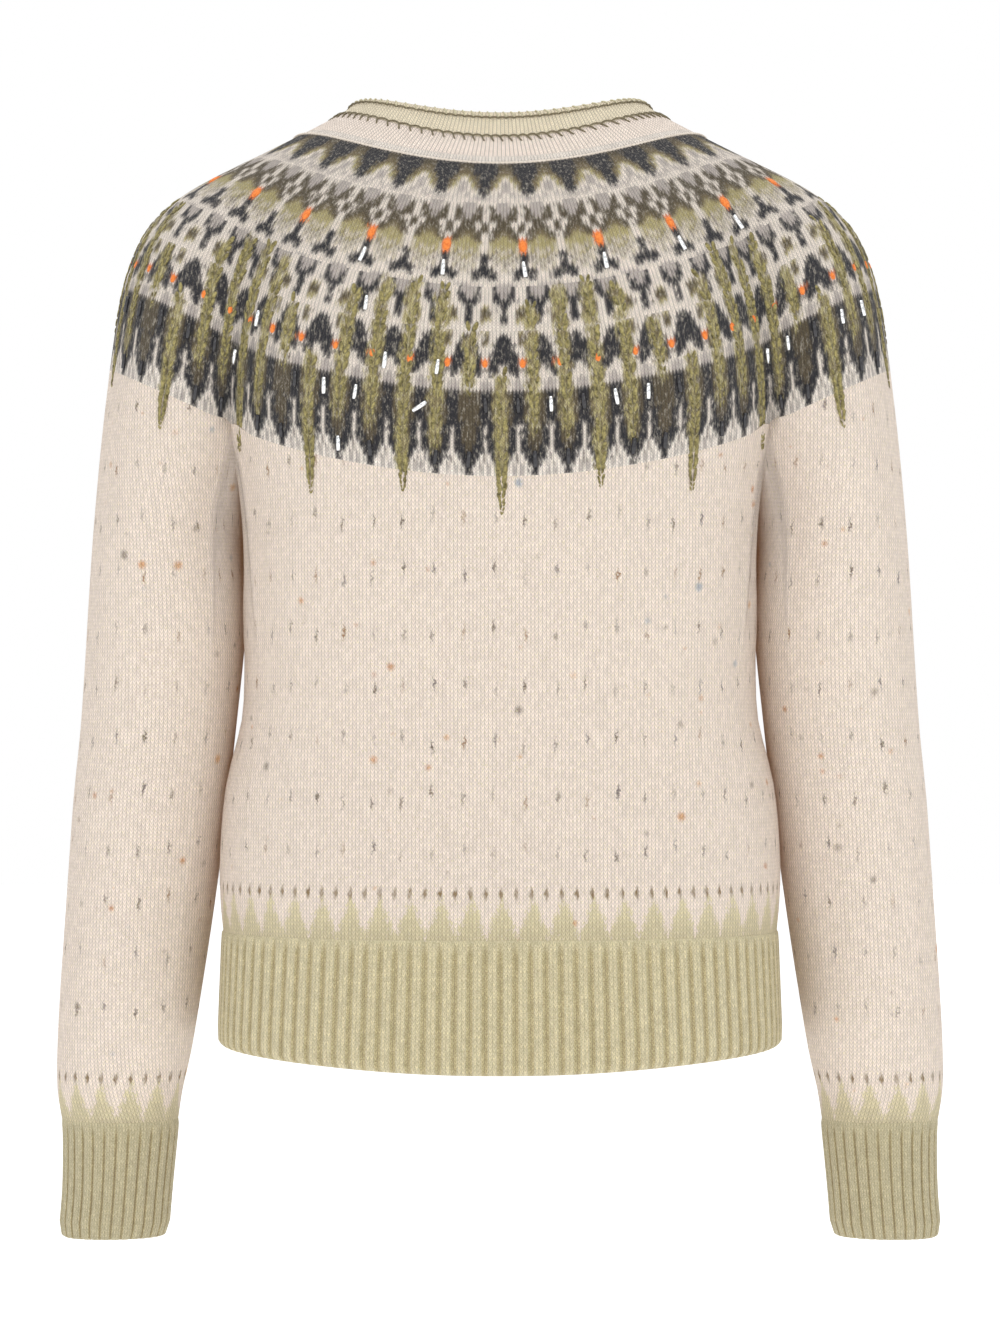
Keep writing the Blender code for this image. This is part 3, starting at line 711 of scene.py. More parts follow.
def closed_wall(points, ways, thickness, around=False):
    """Vertices, faces and each corner's (line, place) for a wall under these outer points."""
    lines, places = points.shape[:2]
    thickness = np.broadcast_to(thickness, (places,))[None, :, None]
    inner = points - ways * thickness
    verts = np.concatenate([points.reshape(-1, 3), inner.reshape(-1, 3)])
    count = lines * places
    last = lines if around else lines - 1
    i, k = np.meshgrid(np.arange(last), np.arange(places - 1), indexing="ij")
    i, k = i.ravel(), k.ravel()

    def corner(line, place, inside=False):
        return (line % lines) * places + place + count * inside, line, place

    faces = [[corner(i, k), corner(i + 1, k), corner(i + 1, k + 1), corner(i, k + 1)]]
    faces.append([corner(a, b, True) for a, b in ((i, k + 1), (i + 1, k + 1), (i + 1, k), (i, k))])

    def rim(lines_at, places_at, next_lines, next_places):
        """The strip that joins the outer face to the inner one along an edge."""
        ends = (lines_at, places_at), (next_lines, next_places)
        faces.append([corner(*ends[0]), corner(*ends[0], True), corner(*ends[1], True), corner(*ends[1])])

    line, top = np.arange(last), np.zeros(last, int)
    rim(line, top, line + 1, top)
    rim(line + 1, top + places - 1, line, top + places - 1)
    if not around:
        place, first = np.arange(places - 1), np.zeros(places - 1, int)
        rim(first, place + 1, first, place)
        rim(first + lines - 1, place, first + lines - 1, place + 1)
    made = [np.stack([np.stack([c[n] for c in quad], axis=1) for n in range(3)]) for quad in faces]
    index, line, place = np.concatenate(made, axis=1)
    return verts, index, line, place


def put(name, verts, faces, finish, slot, node, uv):
    """A finished piece from plain arrays, on the one body. uv has two numbers for each corner."""
    mesh = bpy.data.meshes.new(name)
    mesh.from_pydata(np.asarray(verts).tolist(), [], [list(map(int, f)) for f in faces])
    layer = mesh.uv_layers.new(name="Stitches")
    layer.uv.foreach_set("vector", np.asarray(uv, np.float32).ravel())
    mesh.polygons.foreach_set("use_smooth", [True] * len(mesh.polygons))
    mesh.set_sharp_from_angle(angle=EDGE)
    mesh.materials.append(finish)
    piece = bpy.data.objects.new(name, mesh)
    bpy.context.scene.collection.objects.link(piece)
    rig.ride(piece, "root")
    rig.slot(piece, slot)
    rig.replaces(piece, node)
    return piece


def cloth(name, node, finish, slot, points, ways, u, v, thickness=WALL, around=False):
    """A wall of cloth. u and v count stitches and rows at each place, on one more line if it is around."""
    verts, index, line, place = closed_wall(points, ways, thickness, around)
    uv = np.stack([u[line, place], v[line, place]], axis=2)
    return put(name, verts, index, finish, slot, node, uv)


# Materials


def linear(colour):
    """An sRGB hex colour as linear RGBA."""
    channels = [int(colour[i : i + 2], 16) / 255 for i in (1, 3, 5)]
    return (*(c / 12.92 if c <= 0.04045 else ((c + 0.055) / 1.055) ** 2.4 for c in channels), 1.0)


def add(tree, kind, inputs=None, **settings):
    """Adds a node with its settings, its inputs' values and their links, and returns its outputs."""
    node = tree.nodes.new(kind)
    for name, value in settings.items():
        setattr(node, name, value)
    for socket, value in (inputs or {}).items():
        if isinstance(value, bpy.types.NodeSocket):
            tree.links.new(value, node.inputs[socket])
        else:
            node.inputs[socket].default_value = value
    return node.outputs


MATH, MIX = "ShaderNodeMath", "ShaderNodeMix"
NOISE, RANDOM = "ShaderNodeTexNoise", "ShaderNodeTexWhiteNoise"
SPLIT, JOIN, RANGE = "ShaderNodeSeparateXYZ", "ShaderNodeCombineXYZ", "ShaderNodeMapRange"


def apart(tree, value, middle):
    """How far a value lies from a middle one, to either side."""
    offset = add(tree, MATH, {0: value, 1: middle}, operation="SUBTRACT")[0]
    return add(tree, MATH, {0: offset}, operation="ABSOLUTE")[0]


def begun(name, values):
    """A new material with these values on its shader, its node tree, and the shader's inputs."""
    made = bpy.data.materials.new(name)
    made.use_nodes = True
    shader = made.node_tree.nodes["Principled BSDF"].inputs
    for socket, value in values.items():
        shader[socket].default_value = value
    return made, made.node_tree, shader


# One loop of stocking stitch, its heights as shares of the loop's own
SUNK_BETWEEN = 0.85  # how far the cloth dips between two wales
SUNK_MIDDLE = 0.30  # and down the middle of a wale, where the two legs meet
MIDDLE_REACH = 0.14  # how far from the middle that dip ends, in wales
LEG_END = 0.18  # how high a leg is at its ends
MEAN_HEIGHT = 0.54  # of all, so that the painted shade of deeper loops leaves the yarn as light as it was


def stitch_group():
    """Loops of stocking stitch from the stitch count: each is two slanted legs that meet in a V."""
    tree = bpy.data.node_groups.new("stocking_stitch", "ShaderNodeTree")
    tree.interface.new_socket("Count", in_out="INPUT", socket_type="NodeSocketVector")
    for name in ("Height", "Chance"):
        tree.interface.new_socket(name, in_out="OUTPUT", socket_type="NodeSocketFloat")
    given = add(tree, "NodeGroupInput")
    uv = add(tree, SPLIT, {0: given[0]})
    wale = add(tree, MATH, {0: uv[0]}, operation="FLOOR")[0]
    across = add(tree, MATH, {0: uv[0]}, operation="FRACT")[0]
    middle = apart(tree, across, 0.5)
    slid = add(tree, MATH, {0: middle, 1: 2.0, 2: uv[1]}, operation="MULTIPLY_ADD")[0]
    slid = add(tree, MATH, {0: slid, 1: 0.5}, operation="SUBTRACT")[0]
    course = add(tree, MATH, {0: slid}, operation="FLOOR")[0]
    down = add(tree, MATH, {0: slid}, operation="FRACT")[0]
    # deep between the wales, and a little down the middle of each, where its two legs meet
    edge = add(tree, MATH, {0: middle, 1: 2.0}, operation="MULTIPLY")[0]
    edge = add(tree, MATH, {0: edge, 1: 3.0}, operation="POWER")[0]
    centre = add(tree, RANGE, {0: middle, 1: 0.0, 2: MIDDLE_REACH, 3: SUNK_MIDDLE, 4: 0.0})[0]
    low = add(tree, MATH, {0: edge, 1: SUNK_BETWEEN, 2: centre}, operation="MULTIPLY_ADD")[0]
    leg = add(tree, MATH, {0: 1.0, 1: low}, operation="SUBTRACT")[0]
    # and round along each leg
    round_down = add(tree, MATH, {0: down, 1: 2.0, 2: -1.0}, operation="MULTIPLY_ADD")[0]
    round_down = add(tree, MATH, {0: round_down, 1: 2.0}, operation="POWER")[0]
    round_down = add(tree, MATH, {0: 1.0, 1: round_down}, operation="SUBTRACT")[0]
    height = add(tree, MATH, {0: round_down, 1: 1 - LEG_END, 2: LEG_END}, operation="MULTIPLY_ADD")[0]
    height = add(tree, MATH, {0: height, 1: leg}, operation="MULTIPLY")[0]
    cell = add(tree, JOIN, {0: wale, 1: course})[0]
    chance = add(tree, RANDOM, {"Vector": cell}, noise_dimensions="3D")["Value"]
    add(tree, "NodeGroupOutput", {0: height, 1: chance})
    return tree


STITCHES = stitch_group()

# What a knitted finish may read: the loops' outputs, the stitch count, the place and the fibre's noise
Surface = namedtuple("Surface", "loops count place fibre")
FIBRE_SCALE = 1400.0  # tufts of fibre to a metre, one to about 0.7 mm
PAINTED_WARM_EMISSION = linear("#d08a50")  # painted warm light: the colour the wool gives off, standing in for the warm light that fibres pass on to each other in the shade
WOOL = {
    "Roughness": 0.92,
    "Sheen Weight": 0.12,
    "Sheen Roughness": 0.6,
    "Specular IOR Level": 0.2,
}


def wool(name, colour_of, relief=0.9, depth=0.0009, painted_sunk_shade=0.75, uneven=0.12, rows=1.0, painted_glow=0.045):
    """Brushed knitted wool: matt, with a soft halo of fibres and loops that catch the light.

    colour_of adds the colour's nodes, given the tree and the Surface, and returns a socket. relief and
    depth are the bump's. dip is the strength of the painted shade that darkens what is sunken, and uneven
    sets loop apart from loop. rows is how many rows are drawn for each real one, and glow is the strength
    of the painted warm light that the wool gives off in place of the light that the fibres pass on.
    """
    # painted light: the wool gives off a little warm light of its own, so that its shadows look warm brown instead of
    # grey
    made, tree, shader = begun(name, WOOL | {"Emission Color": PAINTED_WARM_EMISSION, "Emission Strength": painted_glow})
    count = add(tree, "ShaderNodeUVMap", uv_map="Stitches")[0]
    # rows of stocking stitch are too fine to show, so some cloth is drawn with fewer of them
    fewer = {0: count, 1: (1.0, rows, 1.0)}
    drawn = add(tree, "ShaderNodeVectorMath", fewer, operation="MULTIPLY")[0]
    loops = add(tree, "ShaderNodeGroup", {0: drawn}, node_tree=STITCHES)
    place = add(tree, "ShaderNodeTexCoord")["Object"]
    tufts = {"Vector": place, "Scale": FIBRE_SCALE, "Detail": 3.0, "Roughness": 0.7}
    fibre = add(tree, NOISE, tufts)[0]
    colour = colour_of(tree, Surface(loops, count, place, fibre))
    # painted shade: the yarn is darkened where the loops sink between the wales, and it is uneven from loop to loop
    sunk = {0: loops["Height"], 1: painted_sunk_shade, 2: 0.985 - painted_sunk_shade * MEAN_HEIGHT}
    sunk = add(tree, MATH, sunk, operation="MULTIPLY_ADD")[0]
    mottled = {0: loops["Chance"], 1: uneven, 2: 1.0 - uneven / 2}
    mottled = add(tree, MATH, mottled, operation="MULTIPLY_ADD")[0]
    haze = add(tree, MATH, {0: fibre, 1: 0.30, 2: 0.85}, operation="MULTIPLY_ADD")[0]
    shade = add(tree, MATH, {0: sunk, 1: mottled}, operation="MULTIPLY")[0]
    shade = add(tree, MATH, {0: shade, 1: haze}, operation="MULTIPLY")[0]
    colour = add(tree, "ShaderNodeVectorMath", {0: colour, "Scale": shade}, operation="SCALE")[0]
    tree.links.new(colour, shader["Base Color"])
    rough = add(tree, MATH, {0: fibre, 1: 0.35, 2: loops["Height"]}, operation="MULTIPLY_ADD")[0]
    bump = add(tree, "ShaderNodeBump", {"Strength": relief, "Distance": depth, "Height": rough})[0]
    tree.links.new(bump, shader["Normal"])
    return made


def even_stops(ramp, colours):
    """Gives a colour ramp these colours, each as likely as the next."""
    ramp.interpolation = "CONSTANT"
    while len(ramp.elements) < len(colours):
        ramp.elements.new(1.0)
    for i, (element, colour) in enumerate(zip(ramp.elements, colours)):
        element.position, element.color = i / len(colours), linear(colour)


CREAM_YARN, CREAM_SHADE = linear("#f2e7dd"), linear("#dbcec3")
GREEN_YARN, GREEN_SHADE = linear("#dcd4b2"), linear("#c2b994")
DOT_YARN = linear("#75623e")
NEPS = ("#a89a90", "#c98f5c", "#9aa6b4", "#b97743", "#d3a678", "#8a8078")
NEP_SCALE = 95.0  # patches to a metre that hold one nep each, about 1 cm wide
NEP_RARITY = 6.0  # the power that leaves most neps too small to see
NEP_SIZE = 0.34  # the largest one's radius, in patches
DARK_YARNS = ("#6f675f", "#6f6a6c", "#8d6a49", "#675f57", "#7f7468")
WAVER_SCALE = 420.0  # bends to a metre in the outline of a dark stitch, one to 2.4 mm

# The single dark stitches: one to a patch, in stitches across the cloth and then in rows down it.
# start moves the patches, drift and waver move the stitch in its patch, and weight is how narrow it is.
Spacing = namedtuple("Spacing", "start patch drift waver middle weight")
DARK_STITCHES = (
    Spacing(2.6, 8.0, -1.1, 2.6, 4.7, 1.35),
    Spacing(7.2, 18.4, -4.5, 2.4, 8.0, 0.22),
)

# The border over the ribbing, in rows up from it and in wales of the ribbing
DARK_FROM = 26.0  # the row where the dark stitches begin
TOOTH_WALES = 8.0
TOOTH_TOP = 14.0  # a tooth's height at its tip
TOOTH_SLOPE = -3.0  # rows that it loses with each wale away from there
PAINTED_SHADE_ROWS = 11.0  # rows over which painted shade darkens the green, where the ribbing draws it in
DOT_WALES = 4.0
DOT_ROW = 15.6


def with_neps(tree, at, base):
    """Soft specks of blue, rust and brown spun into the yarn, most of them too small to see."""
    patches = {"Vector": at.place, "Scale": NEP_SCALE, "Randomness": 1.0}
    specks = add(tree, "ShaderNodeTexVoronoi", patches)
    fate = add(tree, SPLIT, {0: specks["Color"]})
    size = add(tree, MATH, {0: fate[0], 1: NEP_RARITY}, operation="POWER")[0]
    size = add(tree, MATH, {0: size, 1: NEP_SIZE}, operation="MULTIPLY")[0]
    near = add(tree, MATH, {0: size, 1: specks["Distance"]}, operation="SUBTRACT")[0]
    frayed = add(tree, MATH, {0: at.fibre, 1: 0.7, 2: -0.35}, operation="MULTIPLY_ADD")[0]
    near = add(tree, MATH, {0: near, 1: frayed}, operation="ADD")[0]
    fleck = add(tree, RANGE, {0: near, 1: -0.02, 2: 0.20})[0]
    fleck = add(tree, MATH, {0: fleck, 1: 0.9}, operation="MULTIPLY")[0]
    nep = add(tree, "ShaderNodeValToRGB", {0: fate[1]})[0]
    even_stops(nep.node.color_ramp, NEPS)
    return add(tree, MIX, {0: fleck, 6: base, 7: nep}, data_type="RGBA")[2]


def with_dark_stitches(tree, at, base, rows_up, waver):
    """Single dark stitches, one to a patch of cloth, never quite in line."""
    uv = add(tree, SPLIT, {0: at.count})
    moved, patches, offs = [], [], []
    for stitches, spacing in zip(uv, DARK_STITCHES):
        moved.append(add(tree, MATH, {0: stitches, 1: spacing.start}, operation="ADD")[0])
        patch = add(tree, MATH, {0: moved[-1], 1: spacing.patch}, operation="DIVIDE")[0]
        patches.append(add(tree, MATH, {0: patch}, operation="FLOOR")[0])
    patch = add(tree, JOIN, {0: patches[0], 1: patches[1], 2: 3.0})[0]
    luck = add(tree, RANDOM, {"Vector": patch}, noise_dimensions="3D")
    drift = add(tree, SPLIT, {0: luck["Color"]})
    for stitches, spacing, slip in zip(moved, DARK_STITCHES, drift):
        off = add(tree, MATH, {0: stitches, 1: spacing.patch}, operation="FLOORED_MODULO")[0]
        off = add(tree, MATH, {0: slip, 1: spacing.drift, 2: off}, operation="MULTIPLY_ADD")[0]
        off = add(tree, MATH, {0: waver, 1: spacing.waver, 2: off}, operation="MULTIPLY_ADD")[0]
        off = apart(tree, off, spacing.middle)
        offs.append(add(tree, MATH, {0: off, 1: spacing.weight}, operation="MULTIPLY")[0])
    far = add(tree, MATH, {0: offs[0], 1: offs[1]}, operation="ADD")[0]
    dark = add(tree, RANGE, {0: far, 1: 0.85, 2: 0.25})[0]
    strength = add(tree, MATH, {0: drift[2], 1: 0.7, 2: 0.35}, operation="MULTIPLY_ADD")[0]
    dark = add(tree, MATH, {0: dark, 1: strength}, operation="MULTIPLY")[0]
    clear = add(tree, MATH, {0: rows_up, 1: DARK_FROM}, operation="GREATER_THAN")[0]
    dark = add(tree, MATH, {0: dark, 1: clear}, operation="MULTIPLY")[0]
    strand = add(tree, "ShaderNodeValToRGB", {0: luck["Value"]})[0]
    even_stops(strand.node.color_ramp, DARK_YARNS)
    return add(tree, MIX, {0: dark, 6: base, 7: strand}, data_type="RGBA")[2]


def with_green_teeth(tree, at, base, rows_up, wales):
    """A saw-toothed edge of green over the ribbing, speckled where it starts."""
    tooth = add(tree, MATH, {0: wales, 1: 3.8}, operation="ADD")[0]
    tooth = add(tree, MATH, {0: tooth, 1: TOOTH_WALES}, operation="FLOORED_MODULO")[0]
    tooth = apart(tree, tooth, TOOTH_WALES / 2)
    edge = add(tree, MATH, {0: tooth, 1: TOOTH_SLOPE, 2: TOOTH_TOP}, operation="MULTIPLY_ADD")[0]
    ragged = add(tree, MATH, {0: at.loops["Chance"], 1: 5.0, 2: -2.5}, operation="MULTIPLY_ADD")[0]
    edge = add(tree, MATH, {0: edge, 1: ragged}, operation="ADD")[0]
    over = add(tree, MATH, {0: edge, 1: rows_up}, operation="SUBTRACT")[0]
    green = add(tree, RANGE, {0: over, 1: -2.2, 2: 2.6})[0]
    speck = add(tree, MATH, {0: at.fibre, 1: 4.0, 2: -1.6}, operation="MULTIPLY_ADD")[0]
    green = add(tree, MATH, {0: green, 1: speck}, operation="ADD")[0]
    green = add(tree, RANGE, {0: green, 1: 0.55, 2: 1.05})[0]
    # painted shade: the green is darkened where the ribbing starts to draw it in
    drawn_in = add(tree, RANGE, {0: rows_up, 1: 0.0, 2: PAINTED_SHADE_ROWS, 3: 0.84, 4: 1.0})[0]
    edging = add(tree, MIX, {0: at.fibre, 6: GREEN_SHADE, 7: GREEN_YARN}, data_type="RGBA")[2]
    edging = add(tree, "ShaderNodeVectorMath", {0: edging, "Scale": drawn_in}, operation="SCALE")[0]
    return add(tree, MIX, {0: green, 6: base, 7: edging}, data_type="RGBA")[2]


def with_dots(tree, at, base, rows_up, wales, waver):
    """A row of olive dots over the green teeth."""
    dot = add(tree, MATH, {0: wales, 1: DOT_WALES}, operation="FLOORED_MODULO")[0]
    dot = add(tree, MATH, {0: waver, 1: 1.2, 2: dot}, operation="MULTIPLY_ADD")[0]
    dot = apart(tree, dot, 1.1)
    level = apart(tree, rows_up, DOT_ROW)
    level = add(tree, MATH, {0: level, 1: 0.36}, operation="MULTIPLY")[0]
    far = add(tree, MATH, {0: dot, 1: level}, operation="ADD")[0]
    dot = add(tree, RANGE, {0: far, 1: 1.15, 2: 0.40})[0]
    strength = add(tree, MATH, {0: at.loops["Chance"], 1: 0.5, 2: 0.5}, operation="MULTIPLY_ADD")[0]
    dot = add(tree, MATH, {0: dot, 1: strength}, operation="MULTIPLY")[0]
    return add(tree, MIX, {0: dot, 6: base, 7: DOT_YARN}, data_type="RGBA")[2]


def cream_tweed(tree, at):
    """Cream lambswool with neps, single dark stitches, and a border of dots and green teeth."""
    base = add(tree, MIX, {0: at.fibre, 6: CREAM_SHADE, 7: CREAM_YARN}, data_type="RGBA")[2]
    rows_up = add(tree, "ShaderNodeAttribute", attribute_name="rows_up")["Fac"]
    wales = add(tree, "ShaderNodeAttribute", attribute_name="rib_wale")["Fac"]
    wales = add(tree, MATH, {0: wales, 1: 0.8}, operation="ADD")[0]
    waver = add(tree, NOISE, {"Vector": at.place, "Scale": WAVER_SCALE, "Detail": 2.0})["Fac"]
    base = with_neps(tree, at, base)
    base = with_dark_stitches(tree, at, base, rows_up, waver)
    base = with_green_teeth(tree, at, base, rows_up, wales)
    return with_dots(tree, at, base, rows_up, wales, waver)


def plain(light, dark):
    """One yarn, lighter where its fibres stand up."""

    def colour_of(tree, at):
        return add(tree, MIX, {0: at.fibre, 6: linear(dark), 7: linear(light)}, data_type="RGBA")[2]

    return colour_of


def ribbed(light, dark, groove_light, groove_dark):
    """Pale green ribbing: the grooves, one stitch in four, are an olive yarn."""

    def colour_of(tree, at):
        lint = add(tree, RANGE, {0: at.fibre, 1: 0.30, 2: 0.70})[0]
        base = add(tree, MIX, {0: lint, 6: linear(dark), 7: linear(light)}, data_type="RGBA")[2]
        groove = add(tree, "ShaderNodeAttribute", attribute_name="groove")["Fac"]
        groove = add(tree, RANGE, {0: groove, 1: 0.15, 2: 0.85})[0]
        sunken = {0: lint, 6: linear(groove_dark), 7: linear(groove_light)}
        olive = add(tree, MIX, sunken, data_type="RGBA")[2]
        return add(tree, MIX, {0: groove, 6: base, 7: olive}, data_type="RGBA")[2]

    return colour_of


HAIR_SCALE = 680.0  # pale hairs to a metre, one to 1.5 mm
HAIR_STRETCH = (1.0, 1.0, 0.35)  # they lie three times as long up and down


def charted(tree, at):
    """Stranded yarns: each loop has its own colour, and the brushing blurs it into its neighbours."""
    sharp = add(tree, "ShaderNodeAttribute", attribute_name="yarn")["Color"]
    soft = add(tree, "ShaderNodeAttribute", attribute_name="yarn_brushed")["Color"]
    blur = add(tree, RANGE, {0: at.fibre, 1: 0.34, 2: 0.56})[0]
    base = add(tree, MIX, {0: blur, 6: sharp, 7: soft}, data_type="RGBA")[2]
    # pale hairs of the cream strand brushed across the dark ones
    along = add(tree, "ShaderNodeMapping", {0: at.place, "Scale": HAIR_STRETCH})[0]
    hairs = {"Vector": along, "Scale": HAIR_SCALE, "Detail": 3.0, "Roughness": 0.8}
    lint = add(tree, NOISE, hairs)[0]
    lint = add(tree, RANGE, {0: lint, 1: 0.52, 2: 0.66})[0]
    lint = add(tree, MATH, {0: lint, 1: 0.46}, operation="MULTIPLY")[0]
    return add(tree, MIX, {0: lint, 6: base, 7: linear("#cdc4b4")}, data_type="RGBA")[2]


YARN = {
    "Roughness": 0.9,
    "Sheen Weight": 0.15,
    "Sheen Roughness": 0.6,
    "Specular IOR Level": 0.2,
}


def yarn(name, light, dark, twist=1100.0):
    """Loose sewing yarn: matt and fibrous. twist is its tufts of fibre to a metre."""
    made, tree, shader = begun(name, YARN)
    place = add(tree, "ShaderNodeTexCoord")["Object"]
    fibre = add(tree, NOISE, {"Vector": place, "Scale": twist, "Detail": 3.0, "Roughness": 0.75})[0]
    tuft = add(tree, RANGE, {0: fibre, 1: 0.32, 2: 0.68})[0]
    colour = add(tree, MIX, {0: tuft, 6: linear(dark), 7: linear(light)}, data_type="RGBA")[2]
    tree.links.new(colour, shader["Base Color"])
    bump = add(tree, "ShaderNodeBump", {"Strength": 0.8, "Distance": 0.0008, "Height": fibre})[0]
    tree.links.new(bump, shader["Normal"])
    return made


GLASS_STREAKS = 600.0  # faint streaks to a metre in the glass, one to 1.7 mm


def glass(name, light, dark, roughness, metallic):
    """Cut tube beads: hard, smooth and bright, so each holds one white glint."""
    made, tree, shader = begun(name, {"Roughness": roughness, "Metallic": metallic})
    place = add(tree, "ShaderNodeTexCoord")["Object"]
    streak = add(tree, NOISE, {"Vector": place, "Scale": GLASS_STREAKS})[0]
    colour = add(tree, MIX, {0: streak, 6: linear(dark), 7: linear(light)}, data_type="RGBA")[2]
    tree.links.new(colour, shader["Base Color"])
    return made


# The yoke's bands, charted. Each row of a chart is one row of knitting, repeated round.

YARNS = {
    "#": "#26252a",  # charcoal
    "d": "#554a36",  # dark olive
    "o": "#716345",  # olive
    "g": "#ab9f6e",  # light olive
    "y": "#c6bb86",  # bright olive
    "m": "#c9bea6",  # olive haze over the cream
    "l": "#6a6058",  # taupe shadow
    "w": "#f4eadf",  # cream where few dark yarns cross behind it
    ".": "#e6dbcf",  # cream
    ",": "#b7ada6",  # light grey
    "*": "#f27f35",  # orange
}

Band = namedtuple("Band", "start end repeats shift chart")  # start and end are shares of the yoke's depth
POINTS = """
wwwwwwwwwww
wwwwwwwwwww
wwwwwwwwwww
dd#######dd
dd#######dd
dd#######dd
od#######do
oo#######oo
oo#######oo
goo#####oog
.go#####og.
.goo###oog.
,.go###og.,
,.go###og.,
,.mo###om.,
,..m###m..,
.,..###..,.
.,.,.#.,.,.
..,.,,,.,..
...........
"""
LATTICE = """
,,......,,,,......,,
,,.d..d.,,,,.d..d.,,
,,dd..dd,,,,dd..dd,,
,,dd..dd,,,,dd..dd,,
,ddd..ddd,,ddd..ddd,
,ddd..ddd,,ddd..ddd,
dddd..dddddddd..dddd
dd..dd..dddd..dd..dd
dd..dd..dddd..dd..dd
ddd.dd.dddddd.dd.ddd
odd.dd.ddoodd.dd.ddo
oodd..ddoooodd..ddoo
godd..ddoggodd..ddog
ggod**doggggod..dogg
gggg**gggggggg..gggg
gggm**mggggggm..mggg
gmgm**mgmggmgm..mgmg
m:gm**mg:mm:gm..mg:m
mg:m##m:gmmg:m##m:gm
g:m:##:m:gg:m:##:m:g
:m:.##.:m::m:.##.:m:
m:m.##.m:mm:m.##.m:m
:.m.##.m.::.m.##.m.:
m.:####:.mm.:####:.m
.:######:..:######:.
..######....######..
..##..##....##..##..
....................
,,......,,,,......,,
"""
FORKS = """
..#,,,,#.
..#,,,,#.
..##,,##.
..##,,##.
..######.
...####..
g...##...
do..##..o
dd..##..d
od..##..d
go..##..g
.g..##...
.........
.........
"""
TREES = """
g........g
o...##...o
d..####..d
d..####..o
o.######.g
..######..
..######..
.########.
.########.
*########*
*########*
.###..###.
l###..###l
.##....##.
.#......#.
"""
ICICLES = """
,........
,,......,
,,......,
,,......,
##dddddd#
##dddddd#
##dddddd#
##dddddd#
##dddddd#
##dddddd#
##dddddd#
##dddddd#
##dddddd#
##dddddd#
##d#dd###
.##dddd##
.##dddd##
.##dddd##
.##dddd##
.##dddd##
.##dddd##
.###dd###
.###dd###
w###dd###
:w######w
:w######w
:ww####ww
w:w####w:
w,ww##ww,
w,ww##ww,
w,ww##ww,
"""


def chart(text):
    return text.split()


BANDS_UPPER = (
    Band(0.000, 0.184, 33, 7, chart(POINTS)),
    Band(0.184, 0.447, 23, 1, chart(LATTICE)),
    Band(0.447, 0.577, 58, 6, chart(FORKS)),
)
BANDS_LOWER = (
    Band(0.577, 0.716, 58, 6, chart(TREES)),
    Band(0.716, 1.000, 69, 1, chart(ICICLES)),
)


# Olive streaks worked down the yoke, one over each icicle: where they start and end, in turn
REACHES = ((0.70, 1.11), (0.575, 0.77), (0.455, 0.935), (0.44, 1.06), (0.44, 0.89), (0.495, 0.885))
LAST = BANDS_LOWER[-1]
MIDDLE = LAST.repeats // 2  # the icicle at the centre back
ICICLE_AT = (5 - LAST.shift) / len(LAST.chart[0])  # its middle, as a share of its repeat
STREAK = 0.0034  # half a streak's width
NECK_GIRTH, GIRTH_GAIN = 0.72, 0.62  # metres round the yoke at its top, and more at its lower edge
STREAK_YARNS = {"g": 0.45, "y": 0.2, "o": 0.25, "d": 0.1}  # how often each shows in a streak
YARN_SEED, SEWING_SEED = 11, 5  # of the random draws in the knitting and in the work sewn on it


def icicle(i, offset=0.0):
    """The share round the yoke of one icicle's middle, or of a place to its side."""
    return (i + offset + ICICLE_AT) / LAST.repeats


def streaked(around, down, chance):
    """The streak's yarn at this place on the yoke, or nothing where no streak shows."""
    i = int(round(around * LAST.repeats - ICICLE_AT))
    start, end = REACHES[(i - MIDDLE) % len(REACHES)]
    if not (start < down < end and 0 <= i < LAST.repeats - 1):
        return None
    off = abs(around - icicle(i)) * (NECK_GIRTH + GIRTH_GAIN * down) / STREAK
    taper = min(1.0, (end - down) / 0.10 + 0.35, (down - start) / 0.03 + 0.5)
    if chance.random() > 1.05 * taper - 0.50 * off**2:
        return None
    return chance.choice(tuple(STREAK_YARNS), p=tuple(STREAK_YARNS.values()))


def zipped(upper, lower):
    """Triangles between two rows of vertices, each a list of (vertex, share round the yoke)."""
    faces = []
    i = k = 0
    while i < len(upper) - 1 or k < len(lower) - 1:
        if k == len(lower) - 1 or (i < len(upper) - 1 and upper[i + 1][1] <= lower[k + 1][1]):
            faces.append((upper[i][0], upper[i + 1][0], lower[k][0]))
            i += 1
        else:
            faces.append((upper[i][0], lower[k + 1][0], lower[k][0]))
            k += 1
    return faces


FRAYED = 0.06  # share of the yoke's loops that take the colour of the wale to one side, and to the other
BAND_STEP = 0.0006  # share of the yoke's depth between the last row of one band and the next one's first
INSIDE_ROWS, INSIDE_STEPS = 9, 180  # rows of points on the yoke's plain inside, and steps round it


